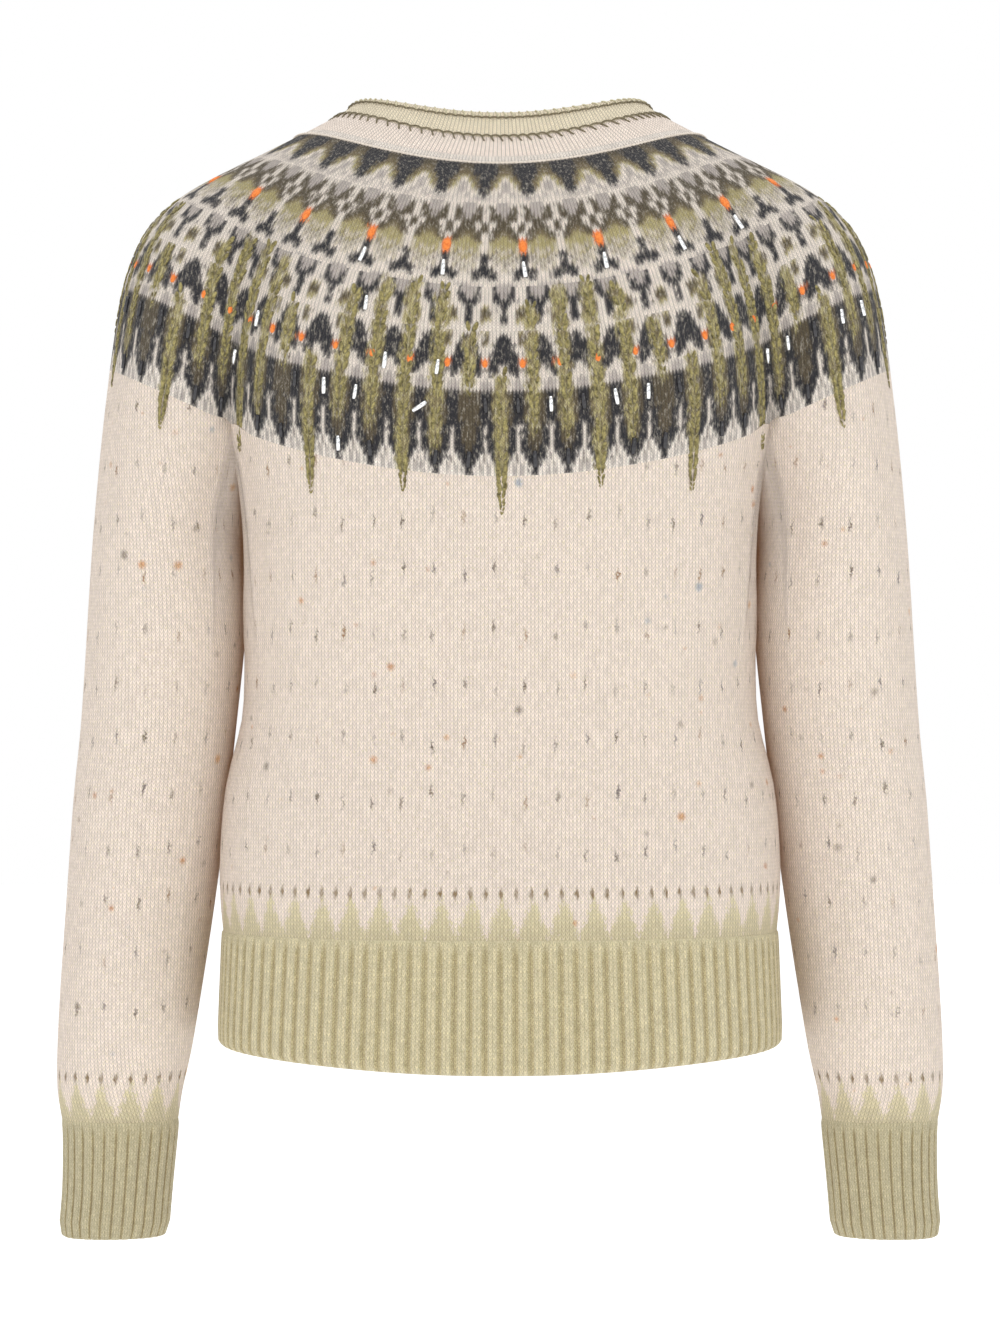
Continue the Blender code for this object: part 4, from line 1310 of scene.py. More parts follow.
def add_inside(verts, faces, counts, rows, bands, skin, shares):
    """Adds a plainer inside to the wall of loops, joined along all four edges."""
    inner_rows = np.linspace(bands[0].start, bands[-1].end, INSIDE_ROWS)
    inner_columns = np.linspace(0, 1, INSIDE_STEPS + 1)
    columns = np.interp(inner_columns, shares, np.arange(len(shares)))
    points, ways = skin.at(columns, skin.rows_at(columns, inner_rows))
    base = len(verts)
    verts.extend((points - ways * WALL).reshape(-1, 3))
    counts.extend([(0.0, 0.0)] * points.shape[0] * points.shape[1])
    inner = [[base + c * INSIDE_ROWS + r for c in range(INSIDE_STEPS + 1)] for r in range(INSIDE_ROWS)]
    for upper, lower in zip(inner, inner[1:]):
        for c in range(INSIDE_STEPS):
            faces.append((lower[c], lower[c + 1], upper[c + 1], upper[c]))
    faces.extend(tuple(reversed(f)) for f in zipped(rows[0], list(zip(inner[0], inner_columns))))
    faces.extend(zipped(rows[-1], list(zip(inner[-1], inner_columns))))
    for side in (0, -1):
        edge = []
        for upper, lower in zip(rows[::2], rows[1::2]):
            edge.extend(range(upper[side][0], lower[side][0] + 1))
        edge = [(vertex, at / (len(edge) - 1)) for at, vertex in enumerate(edge)]
        inside = [(inner[r][side], r / (INSIDE_ROWS - 1)) for r in range(INSIDE_ROWS)]
        strip = zipped(edge, inside)
        faces.extend(strip if side == 0 else [tuple(reversed(f)) for f in strip])


def yoke_piece(name, skin, shares, bands, finish):
    """A wall of counted loops: every leg of every stitch is a face with its yarn's colour."""
    verts, faces, colours, counts, seams = [], [], [], [], []
    rows = []
    chance = np.random.default_rng(YARN_SEED)
    for band in bands:
        width = len(band.chart[0])
        wales, courses = band.repeats * width, len(band.chart)
        halves = np.arange(2 * wales + 1)
        around = np.linspace(0, 1, 2 * wales + 1)
        columns = np.interp(around, shares, np.arange(len(shares)))
        # the middle of a wale sits lower than its sides, so each row is a row of Vs
        place = np.arange(courses + 1)[None, :] + np.where(halves % 2, 0.5, -0.5)[:, None]
        place[:, 0], place[:, -1] = 0, courses
        share = band.start + (band.end - band.start) * place / courses
        if band is not bands[0]:
            share[:, 0] += BAND_STEP
        points = skin.at(columns, skin.rows_at(columns, share))[0]
        base = len(verts)
        verts.extend(points.reshape(-1, 3))
        across = np.broadcast_to(halves[:, None] / 2, place.shape)
        counts.extend(np.stack([across, place], axis=2).reshape(-1, 2))
        first = [(base + h * (courses + 1), around[h]) for h in halves.tolist()]
        last = [(vertex + courses, at) for vertex, at in first]
        if rows:
            seam = zipped(rows[-1], first)
            seams.extend(range(len(faces), len(faces) + len(seam)))
            faces.extend(seam)
            for face in seam:
                column = max(0, min((vertex - base) // (courses + 1) for vertex in face if vertex >= base))
                charted_yarn = band.chart[0][(column // 2 + band.shift) % width]
                colours.append(streaked(around[column], band.start, chance) or charted_yarn)
        rows.append(first)
        rows.append(last)
        for h in range(2 * wales):
            wale = h // 2 + band.shift
            for row in range(courses):
                a = base + h * (courses + 1) + row
                b = a + courses + 1
                faces.append((a, b, b + 1, a + 1))
                drift = chance.random()  # now and then a loop of the next wale's yarn shows here
                across = wale + int(drift < FRAYED) - int(drift > 1 - FRAYED)
                strand = streaked(around[h], share[h, row], chance) or band.chart[row][across % width]
                if strand == ":":  # painted shade: a dark line in the gap between two wales
                    strand = "l" if h % 2 else "."
                colours.append(strand)
    add_inside(verts, faces, counts, rows, bands, skin, shares)
    colours.extend(["."] * (len(faces) - len(colours)))
    counts = np.array(counts)
    uv = [counts[list(face)] for face in faces]
    for seam in seams:  # each face of a seam between two bands reads one spot of a single loop
        uv[seam] = np.repeat(counts[[max(faces[seam])]] + (0.25, 0.2), 3, axis=0)
    piece = put(name, np.array(verts), faces, finish, "yoke_wool", "yoke", np.concatenate(uv))
    paint(piece, colours, chance)
    return piece


def paint(piece, colours, chance):
    """Each face's yarn on its corners, and the mean of the faces round each vertex as the brushed colour."""
    palette = {key: np.array(linear(colour)) for key, colour in YARNS.items()}
    mesh = piece.data
    faces = np.array([palette[c] for c in colours])
    faces[:, :3] *= chance.uniform(0.88, 1.10, (len(faces), 1))
    counts = np.array([p.loop_total for p in mesh.polygons])
    corner_colours = np.repeat(faces, counts, axis=0)
    corner_verts = np.zeros(len(mesh.loops), int)
    mesh.loops.foreach_get("vertex_index", corner_verts)
    total = np.zeros((len(mesh.vertices), 4))
    hits = np.zeros((len(mesh.vertices), 1))
    np.add.at(total, corner_verts, corner_colours)
    np.add.at(hits, corner_verts, 1)
    sharp = mesh.color_attributes.new("yarn", "FLOAT_COLOR", "CORNER")
    sharp.data.foreach_set("color", corner_colours.astype(np.float32).ravel())
    brushed = mesh.color_attributes.new("yarn_brushed", "FLOAT_COLOR", "POINT")
    brushed.data.foreach_set("color", (total / np.maximum(hits, 1)).astype(np.float32).ravel())


# The cloth


def note(piece, name, values):
    """A number for each vertex of the outer and then the inner face."""
    layer = piece.data.attributes.new(name, "FLOAT", "POINT")
    layer.data.foreach_set("value", np.tile(np.asarray(values, np.float32).ravel(), 2))


def counted(points, wale, start):
    """Stitches along each place's row from the line numbered start."""
    across = lengths(points.transpose(1, 0, 2)).T
    return (across - across[start]) / wale


def hung_cloth(name, node, panel, wale, top_of_rib, finish, centre, teeth=(1.0, 0.0)):
    """Body or sleeve cloth, its rows level and its wales counted from the line at share centre.

    teeth gives the ribbing's wales from the cloth's own: how many to each, and where they start.
    """
    skin = Skin(panel)
    extra = 1 if panel.around else 0
    columns = np.linspace(0, skin.columns + extra, (skin.columns + extra) * FINE + 1)
    rows = np.linspace(0, skin.rows, skin.rows * FINE + 1)
    points, ways = skin.at(columns, rows)
    start = int(round((len(columns) - 1) * centre))
    u = counted(points, wale, start)
    v = -points[:, :, 2] / COURSE
    if panel.around:
        points, ways = points[:-1], ways[:-1]
    piece = cloth(name, node, finish, "cream_wool", points, ways, u, v, around=panel.around)
    note(piece, "rows_up", (points[:, :, 2] - top_of_rib) / COURSE)
    note(piece, "rib_wale", np.repeat(u[: len(points), -1:], len(rows), axis=1) * teeth[0] + teeth[1])
    return piece


def rib_cloth(name, node, panel, finish, groove=0.19):
    """Ribbing: rounded folds with a sunken groove between, and a lower edge that turns in."""
    skin = Skin(panel)
    count = skin.columns + (1 if panel.around else 0)
    columns = np.linspace(0, count, count * RIB_STEPS + 1)
    last = skin.rows
    level_rows = np.linspace(1, last - 0.06, RIB_ROWS)
    rows = np.concatenate([RIB_START[:2], level_rows, [last - up for up in ROLL_ROWS]])
    points, ways = skin.at(columns, rows)
    turn = columns % 2 / 2  # the grooves are the whole numbers, the ribs between them
    rise = np.sin(pi * turn) ** 0.7
    fade = np.interp(rows, RIB_START, (0, 0.75, 1))
    to_edge = np.abs(points[:, :, 2] - points[:, -1:, 2])
    short = np.clip(1 - to_edge / EDGE_ROLL, 0, 1)
    inset = EDGE_ROLL * (1 - np.sqrt(1 - short**2))
    u, v = np.repeat(columns[:, None] * 2.0, len(rows), axis=1), -points[:, :, 2] / COURSE
    points = points + ways * (RIB_RAISE * rise[:, None] * fade[None, :] - inset)[..., None]
    points[:, 0] += np.array((0, 0, TUCK)) - ways[:, 0] * TUCK / 8  # up under the cloth above
    if panel.around:
        points, ways = points[:-1], ways[:-1]
    piece = cloth(name, node, finish, "green_wool", points, ways, u, v, around=panel.around)
    near = np.minimum(turn, 1 - turn)[: len(points)]
    sunk = np.clip((groove - near) / 0.08 + 0.5, 0, 1)
    note(piece, "groove", sunk[:, None] * np.interp(rows, RIB_START, (0, 0.35, 1))[None, :])
    return piece


def band_cloth(name, node, panel, finish, slot, wale, raised=0.0, thickness=WALL, rows=4, fine=FINE):
    """A strip of cloth whose wales run down it."""
    skin = Skin(panel)
    columns = np.linspace(0, skin.columns, skin.columns * fine + 1)
    places = np.linspace(0, skin.rows, skin.rows * rows + 1)
    points, ways = skin.at(columns, places)
    points = points + ways * np.broadcast_to(raised, (len(places),))[None, :, None]
    u = counted(points, wale, 0)
    u = np.repeat(u[:, -1:], len(places), axis=1)
    v = lengths(points) / COURSE
    return cloth(name, node, finish, slot, points, ways, u, v, thickness)


SLEEVE_TEETH = (1.18, 5.6)  # the cuff's wales to each of the sleeve's, and where they start
NECK_WALE, EDGE_WALE, BAND_WALE = 0.0025, 0.0024, 0.0019  # a stitch's width on the neck and the bands

body, sleeve = body_panel(), sleeve_panel()
trim, neck, yoke = neck_and_yoke(body, sleeve)
hem, cuff = hem_panel(), cuff_panel()
body.level(-1)
sleeve.level(-1)
body, hem, yoke, neck, trim = (panel.whole() for panel in (body, hem, yoke, neck, trim))
body_half, hem_half = len(body.face[0]) // 2, len(hem.face[0]) // 2
side = BACK_STEPS + ARMHOLE_STEPS

# Lambswool, spun with neps and knitted in stocking stitch, then brushed: matt, soft, slightly warm, and giving off a
# little painted warm light that shows in its shadows
CREAM = wool("tweed_lambswool_stocking_stitch", cream_tweed, painted_sunk_shade=0.65, uneven=0.15, rows=0.75, painted_glow=0.07)
# Green lambswool in narrow folds: soft pale stripes, and thin olive ones where the stitches are sunken
RIB_COLOURS = ribbed("#dfd7b6", "#bdb48e", "#cabf97", "#978a60")
RIBBING = wool("lambswool_rib", RIB_COLOURS, painted_sunk_shade=0.50, uneven=0.20, rows=0.7)
# The same wool round the wrists, given darker colours than the hem's ribbing
CUFF_COLOURS = ribbed("#d2cbab", "#aea581", "#bcb18a", "#8c7f56")
CUFF_RIBBING = wool("lambswool_cuff_rib", CUFF_COLOURS, painted_sunk_shade=0.50, uneven=0.20, rows=0.7)
# Stranded wool in many yarns, brushed: each motif's edge is soft, with pale hairs over the dark yarns
STRANDED = wool("brushed_stranded_wool", charted, relief=1.0, painted_sunk_shade=0.8, painted_glow=0.0)
# Cream lambswool in deep loops with no neps: a plain ring, shaded between its wales
NECK_CREAM = wool("lambswool_neckband", plain("#f6ebe1", "#d6c8ba"), painted_sunk_shade=1.1)
# Pale green lambswool that rolls over: even and matt, with a soft shadow under the roll
NECK_GREEN = wool("lambswool_rolled_edge", plain("#eee5cd", "#cfc4a8"), painted_sunk_shade=0.9)

for name, node, panel, centre in (
    ("back_cloth", "back", body.columns(body_half - side, body_half + side), 0.5),
    ("front_right_cloth", "front_right", body.columns(0, body_half - side), 0.0),
    ("front_left_cloth", "front_left", body.columns(body_half + side, 2 * body_half), 1.0),
):
    hung_cloth(name, node, panel, WALE, HEM_RIB_TOP, CREAM, centre)
for name, node, panel in (
    ("back_ribbing", "rib_back", hem.columns(hem_half - BODY_RIBS_BACK, hem_half + BODY_RIBS_BACK)),
    ("front_right_ribbing", "rib_front_right", hem.columns(0, hem_half - BODY_RIBS_BACK)),
    ("front_left_ribbing", "rib_front_left", hem.columns(hem_half + BODY_RIBS_BACK, 2 * hem_half)),
):
    rib_cloth(name, node, panel, RIBBING)
for hand, turned in (("left", False), ("right", True)):
    arm, wrist = (panel.mirrored() if turned else panel for panel in (sleeve, cuff))
    hung_cloth(f"sleeve_{hand}_cloth", f"sleeve_{hand}", arm, SLEEVE_WALE, CUFF_TOP, CREAM, 0.5, SLEEVE_TEETH)
    rib_cloth(f"cuff_{hand}_ribbing", f"cuff_{hand}", wrist, CUFF_RIBBING, groove=0.12)

half = shares_of([Vector(p) for p in yoke.face[-1]])
yoke_skin = Skin(yoke)
yoke_piece("yoke_upper", yoke_skin, half, BANDS_UPPER, STRANDED)
yoke_piece("yoke_lower", yoke_skin, half, BANDS_LOWER, STRANDED)
band_cloth("neckband", "neck_rib", neck, NECK_CREAM, "cream_wool", NECK_WALE, rows=8)
TRIM_ROWS = range(len(TRIM))
fine_rows = np.linspace(0, len(TRIM) - 1, (len(TRIM) - 1) * 4 + 1)
raised, thick = (np.interp(fine_rows, TRIM_ROWS, column) for column in list(zip(*TRIM))[1:])
band_cloth("neck_edge", "neck_trim", trim, NECK_GREEN, "green_wool", EDGE_WALE, raised, thick)

inner = BAND_HALF - SEAM_GAP / 2
under = front_strip([inner, inner / 3, -inner / 3, -inner])
over = front_strip([inner - BAND_TUCK, inner / 2, 0.0, -inner / 2, -BAND_HALF - BAND_LAP])
for name, node, strip, lift in (
    ("button_band_under", "button_band_left", under, 0.0),
    ("button_band_over", "button_band_right", over, BAND_CLEAR + WALL),
):
    band_cloth(name, node, strip, NECK_GREEN, "green_wool", BAND_WALE, lift, rows=2)

# Horn-like resin, turned and polished: warm brown, with a small clear highlight
HORN = begun("polished_horn_resin", {"Base Color": linear("#7d6a4a"), "Roughness": 0.3})[0]
for node, piece in frame["nodes"].items():
    if node.startswith("button_") and node[7:].isdigit():
        piece.data.materials.clear()
        piece.data.materials.append(HORN)


# Sewn work: yarn laid along paths, and loops or beads set on points, grown by Geometry Nodes


def growth(name, numbers):
    """An empty node tree with a Geometry input, these named numbers, a Material, and a Geometry output."""
    tree = bpy.data.node_groups.new(name, "GeometryNodeTree")
    tree.interface.new_socket("Geometry", in_out="INPUT", socket_type="NodeSocketGeometry")
    for number in numbers:
        tree.interface.new_socket(number, in_out="INPUT", socket_type="NodeSocketFloat")
    tree.interface.new_socket("Material", in_out="INPUT", socket_type="NodeSocketMaterial")
    tree.interface.new_socket("Geometry", in_out="OUTPUT", socket_type="NodeSocketGeometry")
    return tree, add(tree, "NodeGroupInput")


def finish_growth(tree, geometry, finish):
    smooth = add(tree, "GeometryNodeSetShadeSmooth", {"Geometry": geometry})[0]
    made = add(tree, "GeometryNodeSetMaterial", {"Geometry": smooth, "Material": finish})[0]
    add(tree, "NodeGroupOutput", {0: made})
    return tree


def yarn_tree():
    """Yarn of one thickness along every edge of the paths."""
    tree, given = growth("yarn_along_paths", ("Thickness",))
    line = add(tree, "GeometryNodeMeshToCurve", {0: given["Geometry"]})[0]
    radius = add(tree, MATH, {0: given["Thickness"], 1: 0.5}, operation="MULTIPLY")[0]
    ring = add(tree, "GeometryNodeCurvePrimitiveCircle", {"Resolution": 6, "Radius": radius})[0]
    tube = add(tree, "GeometryNodeCurveToMesh", {"Curve": line, "Profile Curve": ring, "Fill Caps": True})[0]
    whole = add(tree, "GeometryNodeRealizeInstances", {0: tube})[0]
    return finish_growth(tree, whole, given["Material"])


def set_tree(name, round_ended):
    """A loop of yarn, or a tube bead, on each point: its length lies along the point's own direction."""
    tree, given = growth(name, ("Width", "Length", "Depth"))
    if round_ended:
        one = add(tree, "GeometryNodeMeshUVSphere", {"Segments": 6, "Rings": 5, "Radius": 0.5})[0]
    else:
        tube = {"Vertices": 10, "Side Segments": 2, "Radius": 0.5, "Depth": 1.0}
        one = add(tree, "GeometryNodeMeshCylinder", tube)[0]
    scale = add(tree, JOIN, {0: given["Width"], 1: given["Depth"], 2: given["Length"]})[0]
    one = add(tree, "GeometryNodeTransform", {"Geometry": one, "Scale": scale})[0]
    down, out, size = (
        add(tree, "GeometryNodeInputNamedAttribute", {"Name": key}, data_type="FLOAT_VECTOR")[0]
        for key in ("down", "out", "size")
    )
    turn = add(tree, "FunctionNodeAlignRotationToVector", {"Vector": down}, axis="Z")[0]
    facing = {"Rotation": turn, "Vector": out}
    turn = add(tree, "FunctionNodeAlignRotationToVector", facing, axis="Y", pivot_axis="Z")[0]
    spots = {"Points": given["Geometry"], "Instance": one, "Rotation": turn, "Scale": size}
    many = add(tree, "GeometryNodeInstanceOnPoints", spots)[0]
    whole = add(tree, "GeometryNodeRealizeInstances", {0: many})[0]
    return finish_growth(tree, whole, given["Material"])


YARN_TREE = yarn_tree()
LOOP_TREE, BEAD_TREE = set_tree("loops_on_points", True), set_tree("beads_on_points", False)


def grown(name, mesh, tree, finish, slot, **numbers):
    """The plain mesh that a tree grows from this one, as a piece on the one body."""
    piece = bpy.data.objects.new(name, mesh)
    bpy.context.scene.collection.objects.link(piece)
    modifier = piece.modifiers.new("growth", "NODES")
    modifier.node_group = tree
    sockets = {item.name: item.identifier for item in tree.interface.items_tree if item.in_out == "INPUT"}
    for key, value in numbers.items():
        modifier[sockets[key]] = value
    modifier[sockets["Material"]] = finish
    whole = bpy.data.meshes.new_from_object(piece.evaluated_get(bpy.context.evaluated_depsgraph_get()))
    piece.modifiers.clear()
    piece.data = whole
    whole.name = name
    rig.ride(piece, "root")
    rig.slot(piece, slot)
    return piece


def laid(name, paths, thickness, finish, slot):
    """Yarn along each path, a list of points."""
    verts, edges = [], []
    for path in paths:
        edges += [(len(verts) + i, len(verts) + i + 1) for i in range(len(path) - 1)]
        verts += [tuple(p) for p in path]
    mesh = bpy.data.meshes.new(name + "_paths")
    mesh.from_pydata(verts, edges, [])
    return grown(name, mesh, YARN_TREE, finish, slot, Thickness=thickness)


def set_out(name, points, tree, finish, slot, width, length, depth):
    """One loop or bead on each (place, down, out, size)."""
    mesh = bpy.data.meshes.new(name + "_points")
    mesh.from_pydata([tuple(p[0]) for p in points], [], [])
    for key, column in (("down", 1), ("out", 2)):
        layer = mesh.attributes.new(key, "FLOAT_VECTOR", "POINT")
        layer.data.foreach_set("vector", np.array([p[column] for p in points], np.float32).ravel())
    layer = mesh.attributes.new("size", "FLOAT_VECTOR", "POINT")
    layer.data.foreach_set("vector", np.array([(p[3],) * 3 for p in points], np.float32).ravel())
    return grown(name, mesh, tree, finish, slot, Width=width, Length=length, Depth=depth)


YOKE_DEPTH = 0.196  # metres from the neck seam to the yoke's lower edge


class Field:
    """The yoke's surface by share round it and share down it; past its lower edge it runs straight on."""

    def __init__(self, skin, shares):
        self.skin, self.shares = skin, shares

    def frame(self, around, down, lift):
        """The place, the way along the rows, the way down and the way out at one spot."""
        column = np.interp([around, around + 0.0005], self.shares, np.arange(len(self.shares)))
        reach = np.array([min(down, 1.0) - 0.004, min(down, 1.0)])
        points, ways = self.skin.at(column, self.skin.rows_at(column, reach))
        drop = points[0, 1] - points[0, 0]
        drop /= np.linalg.norm(drop)
        along = points[1, 1] - points[0, 1]
        along /= np.linalg.norm(along)
        place = points[0, 1] + drop * max(down - 1.0, 0) * YOKE_DEPTH + ways[0, 1] * lift
        return place, along, drop, ways[0, 1]


field = Field(yoke_skin, half)
chance = np.random.default_rng(SEWING_SEED)  # the streaks, knots and beads draw from it in that order
lattice, trees = BANDS_UPPER[1], BANDS_LOWER[0]
LOWER_EDGE = 0.95  # share of the yoke's depth past which a streak's legs are closer, with none left out


def olive_streaks(finish):
    """Thick yarn worked over the colours in chain-like pairs of legs, one line down each icicle."""
    legs = []
    for i in range(LAST.repeats - 1):
        start, end = REACHES[(i - MIDDLE) % len(REACHES)]
        start, end = start + chance.uniform(-0.01, 0.02), end + chance.uniform(-0.01, 0.01)
        down = start
        while down < end:
            taper = min(1.0, (end - down) / 0.13 + 0.36)
            place, along, drop, out = field.frame(icicle(i), down, 0.0002)
            for hand in (-1, 1):
                missing = 0.45 if down < start + 0.09 else 0.18
                if chance.random() < missing and down < LOWER_EDGE:
                    continue
                lean = drop - along * hand * chance.uniform(0.2, 0.45)
                aside = hand * 0.0018 * taper + chance.uniform(-0.0004, 0.0004)
                spot = place + along * aside + drop * chance.uniform(-0.0008, 0.0008)
                legs.append((spot, lean / np.linalg.norm(lean), out, taper * chance.uniform(0.75, 1.15)))
            down += 0.0245 if down < LOWER_EDGE else 0.0130
    set_out("olive_streaks", legs, LOOP_TREE, finish, "yoke_wool", 0.0027, 0.0060, 0.0012)


def orange_knots(finish):
    """Round knots over the lattice's orange stitches, and smaller ones between the trees."""
    knots = []
    for band, middle, down, size in ((lattice, 5 / 20, 0.3246, 1.0), (trees, 0.0, 0.674, 0.66)):
        for i in range(band.repeats + 1):
            around = (i + middle - band.shift / len(band.chart[0])) / band.repeats
            if 0.004 < around < 0.996:
                place, _, drop, out = field.frame(around, down, 0.0)
                knots.append((place, drop, out, size * chance.uniform(0.9, 1.1)))
    set_out("orange_knots", knots, LOOP_TREE, finish, "yoke_wool", 0.0053, 0.0074, 0.0020)


def tube_beads(silver_finish, smoky_finish):
    """Silver-lined beads under the orange knots and among the icicles, and smoky ones among those too."""
    silver, smoky = [], []

    def bead(around, down, shine, lean=0.0):
        place, along, drop, out = field.frame(around, down, 0.0006)
        if abs(out[1]) < 0.3:  # none is sewn where it would stand out at the shoulder's edge
            return
        way = drop + along * (lean + chance.uniform(-0.12, 0.12))
        made = (place, way / np.linalg.norm(way), out, chance.uniform(0.92, 1.08))
        (silver if shine else smoky).append(made)

    for i in range(lattice.repeats):
        around = (i + (5 - lattice.shift) / 20) / lattice.repeats
        if abs(around - 0.5) < 2.2 / lattice.repeats or chance.random() < 0.3:
            bead(around, 0.397, True)
    for around, down in ((0.5655, 0.535), (0.5525, 0.690), (0.5285, 0.690), (0.622, 0.660)):
        bead(around, down, True)
    for i in range(LAST.repeats - 1):
        k = i - MIDDLE
        if k in (5, 4, -2, -4, -5) or (abs(k) > 8 and chance.random() < 0.3):
            bead(icicle(i, 0.5), 0.795, True)
        elif k == 2:
            bead(icicle(i, 0.5), 0.810, True, lean=1.4)
        elif k in (0, -6) or chance.random() < 0.3:
            bead(icicle(i, 0.5), 0.795, False)
        if k == 5:
            bead(icicle(i), 0.953, True)
        elif i % 3 != MIDDLE % 3:
            bead(icicle(i), chance.uniform(0.945, 0.96), False)
    set_out("silver_beads", silver, BEAD_TREE, silver_finish, "buttons", 0.0028, 0.0088, 0.0026)
    set_out("smoky_beads", smoky, BEAD_TREE, smoky_finish, "buttons", 0.0028, 0.0088, 0.0026)


# Thick brushed wool, loosely spun: coarse tufts that run from light olive to nearly black between them
olive_streaks(yarn("thick_brushed_olive_yarn", "#a99e67", "#41391f", 420.0))
# The same thick wool in orange: the one strong colour, soft at its edge
orange_knots(yarn("thick_brushed_orange_yarn", "#ff9748", "#cf6428", 900.0))
# Glass with a mirror lining flashes white, and dark glass shows as black with a thin glint
tube_beads(
    glass("silver_lined_glass", "#ffffff", "#d9dde2", 0.12, 0.9),
    glass("smoky_glass", "#3f3e42", "#0d0d0f", 0.08, 0.0),
)

# The neck's hand stitches, in thin matt sewing wool: taupe reads as a drawn line, and the pale green
# and the cream only as small ridges of the colour that they are sewn on
TAUPE_YARN = yarn("taupe_sewing_wool", "#8f8468", "#574e38")
PALE_YARN = yarn("pale_whipping_wool", "#ded8ba", "#b7ae8c")
CHAIN_YARN = yarn("cream_cast_off_chain", "#ede3d7", "#cfc2b2")
neck_skin, trim_skin = Skin(neck), Skin(trim)
HOOPS, LINKS = 88, 262  # blanket and whipping stitches round the neck, and links of the chain
BLANKET_LEG = ((0.05, 0.0, 0.0006), (-0.10, 0.09, 0.0007), (-0.32, 0.22, 0.0001))  # share, row, lift
WHIP = ((0, 1.5, 0.0), (0, 1.2, 0.0006), (0.5, 0.6, 0.0006), (1, 0.15, 0.0006), (1, 0.0, -0.0004))
WHIP_LEAN = 0.0035  # share round the neck that a whipping stitch leans over
RUN = ((0, -0.0002), (0.12, 0.0007), (0.5, 0.0009), (0.88, 0.0007), (1.0, -0.0002))  # share, lift
RUN_LENGTH, RUN_ROW = 0.0100, 1.62


def on(skin, share, row, lift):
    """A place on a neck piece by share round it and row, moved out by lift."""
    points, ways = skin.at([share * skin.columns], [row])
    if skin is trim_skin:
        lift += np.interp(row, TRIM_ROWS, [r.raised for r in TRIM])
    return points[0, 0] + ways[0, 0] * lift


def blanket_stitch():
    """Hoops along the rolled edge's seam, each with a slanted leg down over the neckband."""
    paths = []
    for i in range(HOOPS):
        a, b = i / HOOPS, (i + 1) / HOOPS
        hoop = [(a + (b - a) * t, 3.0 - 0.10 * sin(pi * t)) for t in np.linspace(0, 1, 5)]
        paths.append([on(trim_skin, share, row, 0.0007) for share, row in hoop])
        paths.append([on(neck_skin, a + (b - a) * lean, row, lift) for lean, row, lift in BLANKET_LEG])
    laid("blanket_stitch", paths, 0.0010, TAUPE_YARN, "green_wool")


def cast_off_chain():
    """The chain of loops along the neck seam."""
    chain = []
    for i in range(LINKS):
        place, along, _, out = field.frame((i + 0.5) / LINKS, 0.030, 0.0005)
        chain.append((place, along, out, 1.0))
    set_out("cast_off_chain", chain, LOOP_TREE, CHAIN_YARN, "cream_wool", 0.0018, 0.0031, 0.0016)


def rim_stitches():
    """Pale whipping over the rolled rim, and a taupe running stitch below it."""
    starts = [(i + 0.3) / HOOPS for i in range(HOOPS)]
    whip = [[on(trim_skin, a + WHIP_LEAN * t, row, lift) for t, row, lift in WHIP] for a in starts]
    run = [[on(trim_skin, a + RUN_LENGTH * t, RUN_ROW, lift) for t, lift in RUN] for a in starts]
    laid("rim_whipping", whip, 0.0009, PALE_YARN, "green_wool")
    laid("rim_running_stitch", run, 0.0011, TAUPE_YARN, "green_wool")


blanket_stitch()
cast_off_chain()
rim_stitches()

Cut = namedtuple("Cut", "piece width length area hangs_from")
CUTS = (  # each piece as knitted flat, in metres, all round where it is a tube
    Cut("yoke_upper", 1.190, 0.113, 0.1027, ()),
    Cut("yoke_lower", 1.305, 0.083, 0.0986, ("yoke_upper",)),
    Cut("neckband", 0.664, 0.0225, 0.0142, ("yoke_upper",)),
    Cut("neck_edge", 0.560, 0.0195, 0.0103, ("neckband",)),
    Cut("back_cloth", 0.455, 0.300, 0.1209, ("yoke_lower",)),
    Cut("front_right_cloth", 0.190, 0.296, 0.0505, ("yoke_lower",)),
    Cut("front_left_cloth", 0.190, 0.296, 0.0505, ("yoke_lower",)),
    Cut("sleeve_right_cloth", 0.335, 0.451, 0.1254, ("yoke_lower",)),
    Cut("sleeve_left_cloth", 0.335, 0.451, 0.1254, ("yoke_lower",)),
    Cut("back_ribbing", 0.462, 0.0768, None, ("back_cloth",)),
    Cut("front_right_ribbing", 0.215, 0.0768, None, ("front_right_cloth",)),
    Cut("front_left_ribbing", 0.215, 0.0768, None, ("front_left_cloth",)),
    Cut("cuff_right_ribbing", 0.205, 0.0726, None, ("sleeve_right_cloth",)),
    Cut("cuff_left_ribbing", 0.205, 0.0726, None, ("sleeve_left_cloth",)),
    Cut("button_band_under", 0.029, 0.556, None, ("neckband",)),
    Cut("button_band_over", 0.030, 0.556, None, ("neckband",)),
)
TRIMS = {  # what is sewn on each
    "yoke_upper": ("orange_knots", "silver_beads", "smoky_beads", "cast_off_chain"),
    "yoke_lower": ("olive_streaks",),
    "neckband": ("blanket_stitch",),
    "neck_edge": ("rim_whipping", "rim_running_stitch"),
}
for cut in CUTS:
    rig.sheet(
        bpy.data.objects[cut.piece],
        flat=(cut.width, cut.length),
        held="hung",
        rests_on=cut.hangs_from,
        with_pieces=[bpy.data.objects[trim] for trim in TRIMS.get(cut.piece, ())],
        area=cut.area,
    )


# The studio


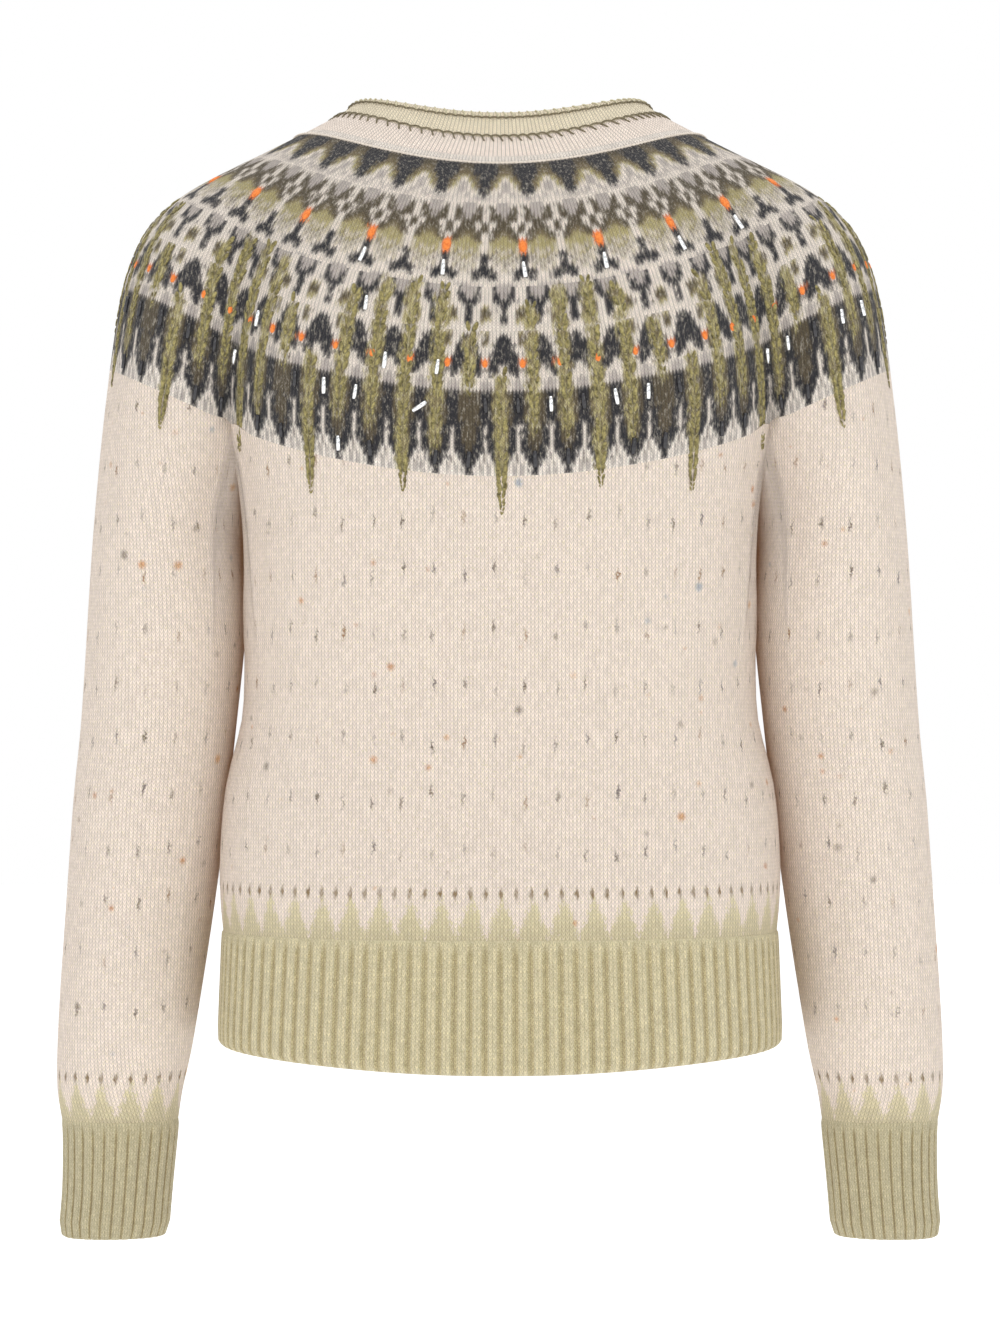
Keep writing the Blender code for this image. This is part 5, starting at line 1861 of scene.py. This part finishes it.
FLOOR_REACH, FLOOR_LEVEL = 9.0, -0.9
AIM = Vector((0, 0, -0.3))  # the point that the lamps face
SKY_LIGHT, SKY_SEEN = 0.76, 1.0  # how strongly the sky lights the cloth, and how bright it looks
LENS = 116.9  # millimetres, over a frame 36 mm high
EYE = (0, 2.6, -0.3144)  # level with the garment's middle, behind it
Lamp = namedtuple("Lamp", "name place size power")
LAMPS = (
    Lamp("key", (-1.5, 2.4, 1.5), 1.6, 22.0),
    Lamp("fill", (1.6, 2.6, 0.9), 1.8, 17.0),
    Lamp("top", (0.0, 0.2, 2.0), 1.6, 11.0),
    Lamp("front", (0.0, -1.2, 1.2), 1.4, 8.0),
)


def sky(scene):
    """A soft grey sky for light from all round, which is seen as white behind the floor."""
    world = bpy.data.worlds.new("studio")
    scene.world = world
    world.use_nodes = True
    background = world.node_tree.nodes["Background"]
    seen = add(world.node_tree, "ShaderNodeLightPath")["Is Camera Ray"]
    seen = add(world.node_tree, RANGE, {0: seen, 3: SKY_LIGHT, 4: SKY_SEEN})[0]
    world.node_tree.links.new(seen, background.inputs["Strength"])
    background.inputs["Color"].default_value = (1.0, 1.0, 1.0, 1.0)


def paper_floor(scene):
    """Matt white paper, lit a little from within so that no grey edge shows."""
    far = FLOOR_REACH
    corners = [(x, y, FLOOR_LEVEL) for x, y in ((-far, -far), (far, -far), (far, far), (-far, far))]
    mesh = bpy.data.meshes.new("floor")
    mesh.from_pydata(corners, [], [(0, 1, 2, 3)])
    values = {
        "Base Color": (0.93, 0.93, 0.93, 1),
        "Roughness": 1.0,
        "Emission Color": (1, 1, 1, 1),
        "Emission Strength": 0.45,
    }
    mesh.materials.append(begun("matt_white_paper", values)[0])
    floor = bpy.data.objects.new("floor", mesh)
    scene.collection.objects.link(floor)
    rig.stage(floor)


def studio():
    scene = bpy.context.scene
    scene.view_settings.view_transform = "Standard"
    sky(scene)
    paper_floor(scene)
    for lamp in LAMPS:
        light = bpy.data.lights.new(lamp.name, "AREA")
        light.size, light.energy = lamp.size, lamp.power
        stand = bpy.data.objects.new(lamp.name, light)
        stand.location = lamp.place
        stand.rotation_euler = (AIM - Vector(lamp.place)).to_track_quat("-Z", "Y").to_euler()
        scene.collection.objects.link(stand)
    camera = bpy.data.cameras.new("camera")
    camera.lens = LENS
    camera.sensor_fit = "VERTICAL"
    camera.sensor_height, camera.sensor_width = 36.0, 36.0
    eye = bpy.data.objects.new("camera", camera)
    eye.location, eye.rotation_euler = EYE, (pi / 2, 0, pi)
    scene.collection.objects.link(eye)
    scene.camera = eye


studio()

json.dump({"cad": [list(map(float, c)) for c in CAD_BOX], "visual": [list(map(float, c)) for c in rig.bounds()]}, open("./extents.json", "w"))
